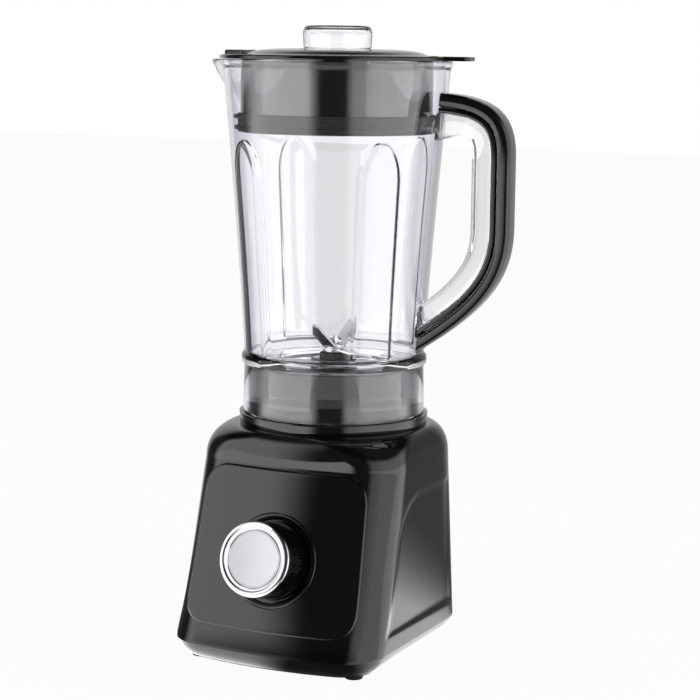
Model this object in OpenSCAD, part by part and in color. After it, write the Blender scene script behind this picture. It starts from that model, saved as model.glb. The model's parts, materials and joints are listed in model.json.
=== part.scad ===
// Countertop blender: a clear jar with a blade unit, standing on a motor base.
// The origin is on the motor's axis, on the surface that the feet stand on.
// +Z is up, -Y is the front with the knob, +X is the right side. Millimetres.

/* [Base housing] */
// Half of the housing's width at its lower edge
base_half_w = 68; // [60:1:84]
// Half of the housing's width at the top of its side walls
deck_half_w = 66; // [60:1:80]
// How far the lower edge reaches to the front of the axis
base_front = 93; // [78:1:112]
// How far the top of the front wall reaches to the front of the axis
deck_front = 65; // [60:1:78]
// How far the lower edge reaches to the back of the axis
base_back = 67; // [60:1:82]
// How far the top of the back wall reaches to the back of the axis
deck_back = 59.5; // [59:0.5:74]
// Corner radius at the front
front_corner = 24; // [18:1:34]
// Corner radius at the back
back_corner = 42; // [30:1:46]
// Height of the housing's lower edge
seam_z = 12.5; // [10:0.5:18]
// Height where the side walls turn in to the shoulder
wall_top_z = 118; // [108:1:122]
// Height of the flat deck
deck_z = 136.5; // [134:0.5:138]
// How far the front bows out between its corners
front_bow = 8; // [0:1:12]
// How far the front's foot flares out
front_flare = 6; // [0:1:9]
// Wall of the housing
housing_wall = 2.6; // [2:0.1:3.2]
// Height of the bottom cover's underside
cover_z = 2.5; // [2:0.5:5]
// How far the bottom cover tapers in below the housing
cover_taper = 9; // [5:1:14]
// Diameter of a foot
foot_d = 12; // [10:1:18]

/* [Jar seat] */
// Radius of the seat ring at the deck
seat_r = 57.3; // [55:0.1:57.9]
// Radius of the seat ring at its top
seat_top_r = 57.8; // [56:0.1:59]
// Height of the ring that the jar stands on
seat_z = 143; // [140:0.5:146]
// Radius of the pedestal inside the jar's foot
pedestal_r = 45.5; // [42:0.5:46]
// Height of the pedestal's top
pedestal_z = 157.5; // [154:0.5:158]
// Radius of the well round the drive coupling
well_r = 20; // [19:0.5:24]

/* [Knob] */
// Height of the knob's centre on the front wall
knob_z = 65; // [58:1:74]
// Diameter of the knob's chrome ring
knob_d = 44.6; // [38:0.2:50]
// Diameter of the spun disc in the ring
knob_disc_d = 33.6; // [28:0.2:36]
// How far the knob stands out of the front panel
knob_reach = 25; // [18:0.5:28]
// Diameter of the bezel round the knob
bezel_d = 57; // [53:0.5:60]

/* [Motor] */
// Side of the square stator stack
stator_side = 66; // [60:1:70]
// Height of the stator stack
stator_h = 34; // [26:1:38]
// Height of the stack's underside
stator_z = 58; // [56:1:62]
// Radius of the armature
armature_r = 19; // [16:0.5:21]
// Air gap between the armature and the stator
air_gap = 0.6; // [0.4:0.1:1]
// Diameter of the motor shaft
motor_shaft_d = 8; // [6:0.5:9]
// Radius of the commutator
commutator_r = 11; // [9:0.5:12]
// Radius of the cooling fan
fan_r = 30; // [24:1:32]

/* [Jar] */
// Turn of the jar on its seat, seen from above, towards the back
jar_turn = 9; // [0:1:14]
// Outer radius at the jar's floor
jar_foot_r = 54.8; // [54:0.1:55.5]
// Outer radius at the rim
jar_rim_r = 68.8; // [67:0.1:72]
// Height of the rim
rim_z = 356; // [330:1:380]
// Wall of the jar
jar_wall = 3; // [2.4:0.1:3.6]
// Height of the jar's inner floor
jar_floor_z = 176; // [175:0.5:180]
// Height of the top of the blade well's floor
jar_well_z = 172; // [171:0.5:173]
// Radius of the well round the blade unit
jar_well_r = 31; // [28:0.5:36]
// How far the spout's tip stands from the axis
spout_reach = 79.4; // [76:0.2:86]
// Depth of the spout below the rim
spout_drop = 24; // [18:1:32]

/* [Handle] */
// How far the handle reaches from the axis
handle_reach = 109; // [102:1:118]
// Depth of the handle's section, with its grip strip
handle_depth = 23; // [20:0.5:26]
// Thickness of the grip strip
grip_depth = 11.5; // [8:0.5:13]
// Width of the handle
handle_w = 21; // [16:1:26]
// Drop from the rim to the top of the handle
handle_drop = 18; // [16:1:24]

/* [Lid and cap] */
// Radius of the lid's skirt
skirt_r = 58; // [54:0.5:58.5]
// Height of the skirt's lower edge
skirt_z = 313; // [306:1:320]
// Thickness of the lid's flange
flange_t = 2.6; // [2:0.1:3]
// Rise of the lid's dome above the flange
dome_rise = 4; // [2:0.5:6]
// Diameter of the measuring cap's head
cap_d = 42; // [38:0.5:46]
// Height of the measuring cap above the dome
cap_h = 13.5; // [10:0.5:18]

/* [Blade unit] */
// Radius of the blade hub inside the jar
hub_r = 8.8; // [8:0.1:11]
// Height of the hub's top
hub_top_z = 179; // [178:0.5:182]
// Diameter of the blade shaft
blade_shaft_d = 6; // [5:0.5:7]
// How far the upper blades reach from the axis
upper_blade_reach = 25; // [20:0.5:28]
// How far the lower blades reach from the axis
lower_blade_reach = 27; // [20:0.5:28]
// Width of a blade
blade_w = 9; // [7:0.5:11]
// Thickness of a blade
blade_t = 1.4; // [1:0.1:1.8]

/* [Clearances] */
// Gap between bodies that move apart
part_gap = 0.3; // [0.2:0.05:0.4]
// Radial clearance of a shaft that turns in a bearing
running_fit = 0.05; // [0.02:0.01:0.08]
// Gap between pieces of one body that sit beside each other
seat_gap = 0.1; // [0.05:0.05:0.2]

/* [Hidden] */
foot_names = ["foot_front_left", "foot_front_right", "foot_back_right", "foot_back_left"];
$fn = 96;

// Colours of the finishes
black = [0.03, 0.03, 0.035];
dark = [0.12, 0.12, 0.13];
clear = [0.8, 0.82, 0.88, 0.45];
steel = [0.7, 0.71, 0.73];
silver = [0.85, 0.86, 0.88];
copper = [0.72, 0.4, 0.2];
bronze = [0.7, 0.55, 0.3];
rubber = [0.08, 0.08, 0.08];
white_plastic = [0.85, 0.84, 0.8];

// Housing levels and the lean of its front wall
wall_rise = wall_top_z - seam_z;
front_lean = atan((base_front - deck_front) / wall_rise);
back_lean = atan((base_back - deck_back) / wall_rise);
flare_power = 6;
shoulder_r = 58.5;
corner_steps = 8;
shoulder_steps = 6;
wall_steps = 6;
front_steps = 10;
cut = 1;

function lerp(a, b, t) = a + (b - a) * t;
// An arc of a quarter turn round (cx, cy) from the angle a0
function quarter(cx, cy, r, a0) =
    [for (i = [0 : corner_steps]) let (a = a0 + 90 * i / corner_steps) [cx + r * cos(a), cy + r * sin(a)]];
// An outline of half width w, reaching f to the front and b to the back, its front bowed by the given rise
function footprint(w, f, b, rf, rb, bow) = [for (p = concat(
    quarter(w - rb, b - rb, rb, 0), quarter(rb - w, b - rb, rb, 90),
    quarter(rf - w, rf - f, rf, 180),
    [for (i = [1 : front_steps - 1]) [lerp(rf - w, w - rf, i / front_steps), -f]],
    quarter(w - rf, rf - f, rf, 270)))
    [p[0], p[1] - min(0, p[1]) / f * bow * pow(p[0] / w, 2)]];
function wall_front(t) = lerp(base_front, deck_front, t) + front_flare * pow(max(0, 1 - t), flare_power);
// The side walls' outline at height z, moved in by d
function wall_ring(z, d) = let (t = (z - seam_z) / wall_rise) [for (p = footprint(
    lerp(base_half_w, deck_half_w, t) - d, wall_front(t) - d,
    lerp(base_back, deck_back, t) - d, front_corner - d, back_corner - d, front_bow)) [p[0], p[1], z]];
// The shoulder's outline, from the walls at u = 0 to the round deck at u = 1, moved in by d
function shoulder_ring(u, d) = let (
    k = 1 - cos(90 * u), z = lerp(wall_top_z, deck_z - d, sin(90 * u)),
    r = shoulder_r, rc = shoulder_r - 0.5) [for (p = footprint(
    lerp(deck_half_w, r, k) - d, lerp(deck_front, r, k) - d, lerp(deck_back, r, k) - d,
    lerp(front_corner, rc, k) - d, lerp(back_corner, rc, k) - d, lerp(front_bow, 0, k))) [p[0], p[1], z]];
// The rings of the whole housing from height z0 up, moved in by d
function housing_rings(z0, d) = concat(
    [for (i = [0 : wall_steps - 1]) wall_ring(lerp(z0, wall_top_z, i / wall_steps), d)],
    [for (i = [0 : shoulder_steps]) shoulder_ring(i / shoulder_steps, d)]);

// A closed solid through a list of rings with the same number of points
module loft(rings) {
    n = len(rings[0]);
    m = len(rings);
    polyhedron(
        points = [for (ring = rings) for (p = ring) p],
        faces = concat(
            [[for (i = [0 : n - 1]) i]],
            [[for (i = [n - 1 : -1 : 0]) (m - 1) * n + i]],
            [for (j = [0 : m - 2]) for (i = [0 : n - 1]) each [
                [j * n + i, (j + 1) * n + i, (j + 1) * n + (i + 1) % n],
                [j * n + i, (j + 1) * n + (i + 1) % n, j * n + (i + 1) % n]]]));
}

// A tube or ring from height z0 to z1
module ring(r_out, r_in, z0, z1) {
    translate([0, 0, z0]) difference() {
        cylinder(h = z1 - z0, r = r_out);
        translate([0, 0, -cut]) cylinder(h = z1 - z0 + 2 * cut, r = r_in);
    }
}
module disc(r, z0, z1) { translate([0, 0, z0]) cylinder(h = z1 - z0, r = r); }
// Copies at the angles of a list, each radius r from the axis
module around(angles, r) { for (a = angles) rotate(a) translate([r, 0, 0]) children(); }

// The frame of the front wall: z out of the wall, y up along it, its origin at the knob's axis
front_at_knob = wall_front((knob_z - seam_z) / wall_rise);
module on_front() {
    translate([0, -front_at_knob, knob_z]) rotate([90 - front_lean, 0, 0]) children();
}

// Screws and bosses
screw_r = 1.9;
screw_head_r = 3.6;
screw_head_h = 2.4;
boss_r = 5;
module screw(z_head, z_tip) {
    up = z_tip > z_head;
    translate([0, 0, up ? z_head - screw_head_h : z_head]) cylinder(h = screw_head_h, r = screw_head_r);
    translate([0, 0, min(z_head, z_tip)]) cylinder(h = abs(z_tip - z_head), r = screw_r);
}

// Places of the feet, the cover's bosses, the seat's screws and the motor's posts
foot_side = base_half_w - 17;
foot_front = 19 - base_front;
foot_back = base_back - 26;
foot_places = [[-foot_side, foot_front], [foot_side, foot_front],
    [foot_side - 6, foot_back], [6 - foot_side, foot_back]];
foot_stem_r = 3;
cover_wall = 2.4;
boss_z = seam_z + 4;
boss_side = deck_half_w - 16;
boss_back = deck_back - 28;
boss_front = 21 - deck_front;
boss_places = [[-boss_side, boss_front], [boss_side, boss_front],
    [boss_side - 4, boss_back - 8], [4 - boss_side, boss_back - 8]];
seat_screw_r = (seat_r + pedestal_r) / 2 - 1;
seat_screw_angles = [45, 135, 225, 315];
deck_hole_r = pedestal_r - 2;
post_x = stator_side / 2 + 2;
post_y = stator_side / 4;
post_places = [[post_x, post_y], [-post_x, post_y], [-post_x, -post_y], [post_x, -post_y]];
post_r = 5;

// Heights along the motor, from the stator up and down
stator_top = stator_z + stator_h;
coil_h = 5;
bracket_leg = 9;
bracket_t = 3;
bearing_h = 7;
bearing_r = motor_shaft_d / 2 + 7;
shaft_r = motor_shaft_d / 2;
upper_plate_z = stator_top + bracket_leg;
lower_plate_z = stator_z - bracket_leg - bracket_t - 9;
upper_bearing_z = upper_plate_z;
lower_bearing_z = lower_plate_z + bracket_t - bearing_h;
isolator_h = 4;
post_z = upper_plate_z + bracket_t + isolator_h;
fan_z = cover_z + cover_wall + 7;
fan_h = lower_bearing_z - fan_z - 3;
commutator_z = lower_plate_z + bracket_t + 1;
commutator_h = stator_z - commutator_z - coil_h;
bolt_at = stator_side / 2 - 6;
bolt_places = [[bolt_at, bolt_at], [-bolt_at, bolt_at], [-bolt_at, -bolt_at], [bolt_at, -bolt_at]];
bolt_r = 1.9;

// The knob's recess, switch and bezel, measured out from the front wall
panel_t = 1.6;
bezel_rim = 1.4;
switch_side = 30;
switch_h = 20;
switch_z = -housing_wall - 0.8;
switch_neck_r = 5;
switch_shaft_r = 3;
knob_skirt_z = bezel_rim + part_gap;

// Front panel: a fascia in a shallow recess of the front wall
panel_top_w = 2 * deck_half_w - 26;
panel_low_w = 2 * base_half_w - 22;
panel_top = wall_top_z - 1;
panel_low = seam_z + 12;
panel_round = 14;
module panel_outline(grow) {
    offset(r = panel_round + grow) polygon([
        [-panel_low_w / 2 + panel_round, panel_low + panel_round],
        [panel_low_w / 2 - panel_round, panel_low + panel_round],
        [panel_top_w / 2 - panel_round, panel_top - panel_round],
        [-panel_top_w / 2 + panel_round, panel_top - panel_round]]);
}
// The panel's outline driven back from the front to half way into the housing
module panel_prism(grow) {
    rotate([90, 0, 0]) linear_extrude(base_front + 10) panel_outline(grow, $fn = 32);
}

// Housing: one shell with the deck, screw bosses and motor posts
inlet_z = 34;
inlet_x = -14;
inlet_r = 8;
module on_back() {
    translate([inlet_x, lerp(base_back, deck_back, (inlet_z - seam_z) / wall_rise), inlet_z])
        rotate([back_lean - 90, 0, 0]) children();
}
module housing() {
    color(black) difference() {
        union() {
            difference() {
                loft(housing_rings(seam_z, 0));
                translate([0, 0, -cut]) loft(housing_rings(seam_z, housing_wall));
                loft([wall_ring(seam_z - cut, housing_wall), wall_ring(seam_z + cut, housing_wall)]);
            }
            intersection() {
                loft(housing_rings(seam_z, housing_wall / 2));
                union() {
                    for (p = boss_places) translate([p[0], p[1], boss_z]) cylinder(h = deck_z, r = boss_r);
                    for (p = post_places) translate([p[0], p[1], post_z]) cylinder(h = deck_z, r = post_r);
                }
            }
        }
        intersection() {
            panel_prism(seat_gap);
            difference() {
                loft(housing_rings(seam_z, -cut));
                loft(housing_rings(seam_z - cut, panel_t));
            }
        }
        disc(deck_hole_r, deck_z - 20, deck_z + cut);
        around(seat_screw_angles, seat_screw_r) disc(screw_r + seat_gap, deck_z - 20, deck_z + cut);
        for (p = boss_places) translate([p[0], p[1], 0]) disc(screw_r, seam_z, boss_z + 20);
        for (p = post_places) translate([p[0], p[1], 0]) disc(screw_r, seam_z, post_z + 12);
        around(seat_screw_angles, seat_screw_r)
            disc(screw_head_r + seat_gap, deck_z - 20, deck_z - housing_wall);
        on_front() disc(switch_neck_r + seat_gap, -30, 10);
        on_front() disc(bezel_d / 2 + seat_gap, -panel_t, 10);
        on_back() disc(inlet_r, -20, 20);
    }
}

module front_panel() {
    color(black) difference() {
        intersection() {
            panel_prism(0);
            loft(housing_rings(seam_z, 0));
        }
        loft(housing_rings(seam_z - cut, panel_t - seat_gap / 2));
        on_front() disc(bezel_d / 2 + seat_gap, -30, 10);
    }
}

// A solid of the bottom cover from height z0 to the seam, moved in by d
function cover_inset(z) = lerp(cover_taper, 1, (z - cover_z) / (seam_z - cover_z));
module cover_body(d, z0) {
    low = [for (p = wall_ring(seam_z, cover_inset(z0) + d)) [p[0], p[1], z0]];
    loft([low, wall_ring(seam_z, 1 + d)]);
}

module bottom_cover() {
    slot_w = 3;
    slot_l = 44;
    color(black) difference() {
        union() {
            difference() {
                cover_body(0, cover_z);
                cover_body(cover_wall, cover_z + cover_wall);
            }
            for (p = boss_places) translate([p[0], p[1], 0]) disc(boss_r, cover_z + cover_wall / 2, boss_z);
        }
        for (p = foot_places) translate([p[0], p[1], 0])
            disc(foot_stem_r + seat_gap, cover_z - cut, cover_z + cover_wall + cut);
        for (p = boss_places) translate([p[0], p[1], 0]) {
            disc(screw_r + seat_gap, cover_z - cut, boss_z + cut);
            disc(screw_head_r + seat_gap, cover_z - cut, cover_z + screw_head_h);
        }
        for (i = [-4 : 4]) translate([i * 2 * slot_w - slot_w / 2, -slot_l / 2, cover_z - cut])
            cube([slot_w, slot_l, cover_wall + 2 * cut]);
    }
}

module foot(i) {
    translate([foot_places[i][0], foot_places[i][1], 0]) color(rubber) {
        cylinder(h = cover_z, r1 = foot_d / 2 - 1, r2 = foot_d / 2);
        disc(foot_stem_r, cover_z, cover_z + cover_wall);
        disc(foot_stem_r + 1.5, cover_z + cover_wall, cover_z + cover_wall + 1.6);
    }
}

module cover_screws() {
    color(steel) for (p = boss_places) translate([p[0], p[1], 0]) screw(cover_z + screw_head_h, boss_z + 18);
}

// Jar seat: the ring that the jar stands on, and the pedestal inside the jar's foot
seat_wall = 2.6;
key_w = 6;
key_out = 1.8;
key_angles = [0, 90, 180, 270];
coupling_floor_z = seat_z - 5;
shaft_hole_r = motor_shaft_d / 2 + 2;
module jar_seat() {
    w = seat_wall;
    color(black) difference() {
        union() {
            rotate_extrude() polygon([
                [seat_r - w, deck_z], [seat_r, deck_z], [seat_top_r, seat_z], [pedestal_r, seat_z],
                [pedestal_r, pedestal_z - 2], [pedestal_r - 2, pedestal_z], [well_r, pedestal_z],
                [well_r, coupling_floor_z + w], [shaft_hole_r, coupling_floor_z + w],
                [shaft_hole_r, coupling_floor_z], [well_r + w, coupling_floor_z],
                [well_r + w, pedestal_z - w], [pedestal_r - w, pedestal_z - w],
                [pedestal_r - w, deck_z], [pedestal_r, deck_z], [pedestal_r, seat_z - w],
                [seat_r - w, seat_z - w]]);
            around(key_angles, pedestal_r - 1) translate([0, -key_w / 2, seat_z - 1])
                cube([1 + key_out, key_w, pedestal_z - 4 - seat_z]);
            around(seat_screw_angles, seat_screw_r) disc(screw_head_r, deck_z, seat_z - w / 2);
        }
        around(seat_screw_angles, seat_screw_r) disc(screw_r, deck_z - cut, seat_z - w);
    }
}

seat_screw_tip = seat_z - seat_wall - 1;
module seat_screws() {
    color(steel) around(seat_screw_angles, seat_screw_r) screw(deck_z - housing_wall, seat_screw_tip);
}

// Knob: bezel, switch and the turning pieces, all on the front wall's axis
module knob_bezel() {
    r = bezel_d / 2;
    color(black) on_front() rotate_extrude() polygon([
        [switch_neck_r + seat_gap, -panel_t], [r, -panel_t], [r, bezel_rim - 0.6], [r - 0.6, bezel_rim],
        [r - 1.8, bezel_rim], [r - 3.4, 0], [switch_neck_r + seat_gap, 0]]);
}

module speed_switch() {
    color(dark) on_front() difference() {
        union() {
            translate([-switch_side / 2, -switch_side / 2, switch_z - switch_h])
                cube([switch_side, switch_side, switch_h]);
            disc(switch_neck_r, switch_z, 3);
        }
        disc(switch_shaft_r + running_fit, switch_z - switch_h + 4, 10);
    }
}

module switch_nut() {
    color(steel) on_front() difference() {
        cylinder(h = 2, r = 8, $fn = 6);
        disc(switch_neck_r + seat_gap / 2, -cut, 10);
    }
}

module switch_shaft() {
    color(steel) on_front() disc(switch_shaft_r, switch_z - switch_h + 4 + part_gap, knob_reach - 5);
}

knob_wall = 2;
knob_face = 3;
module speed_knob() {
    color(black) on_front() difference() {
        rotate_extrude() polygon([
            [0, 4], [8, 4], [8, knob_reach - knob_face - 2.5],
            [knob_d / 2 - 1 - knob_wall, knob_reach - knob_face - 2.5],
            [knob_d / 2 - knob_wall, knob_skirt_z], [knob_d / 2 + 0.6, knob_skirt_z],
            [knob_d / 2 - 0.6, knob_reach - knob_face], [0, knob_reach - knob_face]]);
        disc(switch_shaft_r + seat_gap / 2, 0, knob_reach - 5);
    }
}

module knob_ring() {
    color(silver) on_front() rotate_extrude() polygon([
        [knob_disc_d / 2, knob_reach - knob_face], [knob_d / 2, knob_reach - knob_face],
        [knob_d / 2, knob_reach - 1], [knob_d / 2 - 1, knob_reach], [knob_disc_d / 2 + 0.4, knob_reach - 1],
        [knob_disc_d / 2, knob_reach - 1.4]]);
}

module knob_disc() {
    color(steel) on_front() disc(knob_disc_d / 2 - seat_gap / 2, knob_reach - knob_face, knob_reach - 1.4);
}

// Motor: a square stator between two brackets, hung from the housing's posts
window_in = armature_r + air_gap + 1.4;
window_w = 6;
window_l = 13;
module motor_stator() {
    color(steel) translate([0, 0, stator_z]) linear_extrude(stator_h) difference() {
        square(stator_side, center = true);
        circle(armature_r + air_gap);
        for (x = [window_in, -window_in - window_w], y = [5, -5 - window_l])
            translate([x, y]) square([window_w, window_l]);
        for (p = bolt_places) translate(p) circle(bolt_r + seat_gap);
    }
}

module coil_turn(z) {
    translate([0, 0, z]) linear_extrude(coil_h) difference() {
        intersection() {
            circle(window_in + window_w + 2);
            translate([-50, 5.5]) square([100, 50]);
        }
        circle(armature_r + 1.4);
    }
}

module field_coils() {
    color(copper) for (a = [0, 180]) rotate(a) {
        coil_turn(stator_top + 0.2);
        coil_turn(stator_z - 0.2 - coil_h);
        for (x = [window_in + 0.5, -window_in - window_w + 0.5]) translate([x, 5.5, stator_z - 1])
            cube([window_w - 1, window_l - 1, stator_h + 2]);
    }
}

// A bearing bracket: a plate on four legs, with a cup for the bearing and the long bolts' holes
module bracket(plate_z, leg_z, cup_z, ears) {
    cup_r = bearing_r + 3;
    color(steel) difference() {
        union() {
            translate([0, 0, plate_z]) linear_extrude(bracket_t) {
                square(stator_side - 2, center = true);
                if (ears) for (p = post_places) translate(p) circle(post_r + 2);
            }
            for (p = bolt_places) translate([p[0], p[1], 0])
                disc(4.2, min(leg_z, plate_z), max(leg_z, plate_z + bracket_t));
            disc(cup_r, cup_z, cup_z + bearing_h);
        }
        disc(bearing_r + 0.02, cup_z - cut, cup_z + bearing_h + cut);
        for (p = bolt_places) translate([p[0], p[1], 0]) disc(bolt_r + seat_gap, 0, deck_z);
        if (ears) for (p = post_places) translate([p[0], p[1], 0]) disc(screw_r + seat_gap, 0, deck_z);
    }
}
module upper_bracket() { bracket(upper_plate_z, stator_top, upper_bearing_z, true); }
module lower_bracket() { bracket(lower_plate_z, stator_z, lower_bearing_z, false); }

module bearing(z) {
    color(silver) ring(bearing_r, shaft_r + running_fit, z, z + bearing_h);
}

brush_w = 6;
brush_h = 5;
brush_z = commutator_z + commutator_h / 2 - brush_h / 2;
module brush_box(a) {
    rotate(a) difference() {
        translate([commutator_r + 3, -brush_w / 2 - 1.5, lower_plate_z + bracket_t])
            cube([14, brush_w + 3, brush_z + brush_h + 1.5 - lower_plate_z - bracket_t]);
        translate([0, -brush_w / 2 - seat_gap / 2, brush_z - seat_gap / 2])
            cube([60, brush_w + seat_gap, brush_h + seat_gap]);
    }
}
module brush_holders() { color(white_plastic) for (a = [0, 180]) brush_box(a); }
module carbon_brushes() {
    color(dark) for (a = [0, 180]) rotate(a) difference() {
        translate([commutator_r - 2, -brush_w / 2, brush_z]) cube([16, brush_w, brush_h]);
        disc(commutator_r + part_gap, brush_z - cut, brush_z + brush_h + cut);
    }
}

module motor_isolators() {
    color(rubber) for (p = post_places) translate([p[0], p[1], 0])
        ring(post_r, screw_r + seat_gap, upper_plate_z + bracket_t, post_z);
}

module motor_screws() {
    color(steel) {
        for (p = post_places) translate([p[0], p[1], 0]) screw(upper_plate_z, post_z + 10);
        for (p = bolt_places) translate([p[0], p[1], 0]) {
            disc(bolt_r, lower_plate_z, upper_plate_z + bracket_t);
            disc(screw_head_r, lower_plate_z - screw_head_h, lower_plate_z);
            disc(screw_head_r, upper_plate_z + bracket_t, upper_plate_z + bracket_t + 2);
        }
    }
}

module cord_inlet() {
    color(rubber) on_back() difference() {
        union() {
            disc(inlet_r - seat_gap, -housing_wall - 2, 1);
            disc(inlet_r + 2, -housing_wall - 3, -housing_wall - seat_gap);
            disc(inlet_r + 2, seat_gap, 2);
        }
        disc(3.6, -20, 20);
    }
}

module terminal_block() {
    floor_z = cover_z + cover_wall;
    color(white_plastic) translate([4, fan_r + 5, floor_z]) difference() {
        cube([24, 14, 12]);
        for (x = [5, 12, 19]) translate([x, 7, 6]) cylinder(h = 10, r = 2);
    }
}

// Rotor: shaft, core, winding, commutator, fan and the coupling on top
rotor_foot_z = fan_z - 2;
drive_z = coupling_floor_z + seat_wall + 0.9;
dog_h = 6;
dog_in = 7;
dog_out = 15;
dog_deg = 24;
dog_angles = [0, 90, 180, 270];
dog_root = 3.4;
shaft_top_z = drive_z + dog_root;
module dogs(z0, z1, first) {
    for (a = dog_angles) rotate(a + first - dog_deg / 2) translate([0, 0, z0])
        rotate_extrude(angle = dog_deg) translate([dog_in, 0]) square([dog_out - dog_in, z1 - z0]);
}
module motor_shaft() { color(steel) disc(shaft_r, rotor_foot_z, shaft_top_z); }
module on_shaft(r, z0, z1) { ring(r, shaft_r, z0, z1); }
module armature_core() {
    slot_count = 12;
    color(steel) difference() {
        on_shaft(armature_r, stator_z + 1, stator_top - 1);
        for (i = [0 : slot_count - 1]) rotate(i * 360 / slot_count) {
            translate([armature_r - 7, -1.8, stator_z]) cube([5.5, 3.6, stator_h]);
            translate([armature_r - 3, -0.7, stator_z]) cube([6, 1.4, stator_h]);
        }
    }
}
module armature_winding() {
    color(copper) {
        on_shaft(armature_r - 3, stator_top - 1, stator_top + 5);
        on_shaft(armature_r - 3, stator_z - 4, stator_z + 1);
    }
}
module commutator() {
    color(copper) difference() {
        on_shaft(commutator_r, commutator_z, stator_z - 4);
        for (i = [0 : 11]) rotate(i * 30) translate([commutator_r - 0.8, -0.3, commutator_z - cut])
            cube([2, 0.6, commutator_h + 2]);
    }
}
module cooling_fan() {
    blades = 9;
    color(dark) {
        on_shaft(fan_r, fan_z, fan_z + 1.8);
        on_shaft(8, fan_z + 1.8, fan_z + fan_h);
        for (i = [0 : blades - 1]) rotate(i * 360 / blades) translate([9.6, -0.8, fan_z + 1])
            rotate(22) cube([fan_r - 12, 1.6, fan_h - 3]);
    }
}
module drive_coupling() {
    color(dark) {
        on_shaft(dog_out + 1, drive_z, drive_z + dog_root);
        dogs(drive_z + dog_root / 2, drive_z + dog_root + dog_h, 0);
    }
}

// Jar: the wall flares as a power of the height, so it is steeper near the foot
flare = 1.2;
jar_steps = 10;
collar_z = seat_z + part_gap;
collar_r = jar_foot_r + 0.7;
function jar_r(z) = let (t = max(0, (z - jar_floor_z) / (rim_z - jar_floor_z)))
    jar_foot_r + (jar_rim_r - jar_foot_r) * pow(t, flare);
function jar_wall_points(d, z0) =
    [for (i = [0 : jar_steps]) let (z = lerp(z0, rim_z, i / jar_steps)) [jar_r(z) - d, z]];
hub_hole_r = hub_r + 1.4;
spout_top = 4;
module jar_frame() { rotate(jar_turn) children(); }
module spout_body(d) {
    reach = spout_reach - d;
    root = jar_r(rim_z) - 4;
    top = d > 0 ? rim_z + cut : rim_z;
    hull() {
        translate([-reach + 3, 0, rim_z - spout_top]) cylinder(h = top - rim_z + spout_top, r = 3, $fn = 32);
        translate([-root, -22 + d, rim_z - spout_top]) cube([4, 44 - 2 * d, top - rim_z + spout_top]);
        translate([-root - 1, -2, rim_z - spout_drop + d]) cube([2, 4, 1]);
    }
}
module jar_outside(grow) {
    rotate_extrude() polygon(concat(
        [[0, jar_floor_z - jar_wall], [jar_foot_r + grow, jar_floor_z - jar_wall]],
        jar_wall_points(-grow, jar_floor_z), [[0, rim_z]]));
}
module jar() {
    w = jar_wall;
    color(clear) jar_frame() difference() {
        union() {
            rotate_extrude() polygon(concat(
                [[collar_r - w, collar_z], [collar_r, collar_z], [jar_foot_r, jar_floor_z - w]],
                jar_wall_points(0, jar_floor_z),
                [[0, rim_z], [0, jar_well_z - w], [jar_well_r + w, jar_well_z - w],
                [jar_well_r + w, jar_floor_z - w], [jar_foot_r - w, jar_floor_z - w]]));
            spout_body(0);
        }
        rotate_extrude() polygon(concat(
            [[0, jar_well_z], [jar_well_r, jar_well_z], [jar_well_r + 1, jar_floor_z]],
            jar_wall_points(w, jar_floor_z), [[jar_rim_r - w, rim_z + cut], [0, rim_z + cut]]));
        intersection() {
            spout_body(w);
            disc(spout_reach + 5, rim_z - spout_drop, rim_z + cut);
        }
        disc(hub_hole_r, jar_well_z - 2 * w, jar_well_z + cut);
    }
}

// Handle: a D whose outer edge is two curves joined by an upright run
function bezier(p, n) = [for (i = [0 : n]) let (t = i / n, s = 1 - t)
    s * s * s * p[0] + 3 * s * s * t * p[1] + 3 * s * t * t * p[2] + t * t * t * p[3]];
handle_top_z = rim_z - handle_drop;
handle_steps = 12;
handle_edge = concat(
    bezier([[jar_foot_r, handle_top_z], [handle_reach - 17, handle_top_z],
        [handle_reach, handle_top_z - 8], [handle_reach, handle_top_z - 38]], handle_steps),
    bezier([[handle_reach, handle_top_z - 80], [handle_reach, handle_top_z - 112],
        [handle_reach - 17, handle_top_z - 132], [jar_foot_r - 5, jar_floor_z + 4]], handle_steps));
// The edge moved in by d, square to itself
function moved_in(path, d) = [for (i = [0 : len(path) - 1])
    let (a = path[max(i - 1, 0)], b = path[min(i + 1, len(path) - 1)], v = (b - a) / norm(b - a))
    path[i] + d * [v[1], -v[0]]];
function reversed(path) = [for (i = [len(path) - 1 : -1 : 0]) path[i]];
module handle_band(d0, d1) {
    rotate([90, 0, 0]) translate([0, 0, -handle_w / 2]) linear_extrude(handle_w)
        polygon(concat(moved_in(handle_edge, d0), reversed(moved_in(handle_edge, d1))));
}
module jar_handle() {
    color(clear) jar_frame() difference() {
        handle_band(grip_depth, handle_depth);
        jar_outside(seat_gap);
    }
}
module handle_grip() {
    color(black) jar_frame() difference() {
        handle_band(0, grip_depth);
        jar_outside(seat_gap);
    }
}

// The dark sleeve in the jar's foot, notched for the pedestal's keys
sleeve_in = pedestal_r + 0.7;
sleeve_out = jar_foot_r - jar_wall - seat_gap;
sleeve_top = jar_floor_z - jar_wall;
module jar_sleeve() {
    color(black) difference() {
        union() {
            ring(sleeve_out, sleeve_in, collar_z + part_gap, sleeve_top);
            ring(sleeve_out - 1, jar_well_r + jar_wall + seat_gap, sleeve_top - 2.4, sleeve_top);
        }
        around(key_angles, sleeve_in - 1) translate([0, -key_w / 2 - 0.5, seat_z - cut])
            cube([1 + key_out + 0.6, key_w + 1, pedestal_z - seat_z + 1]);
    }
}

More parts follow.
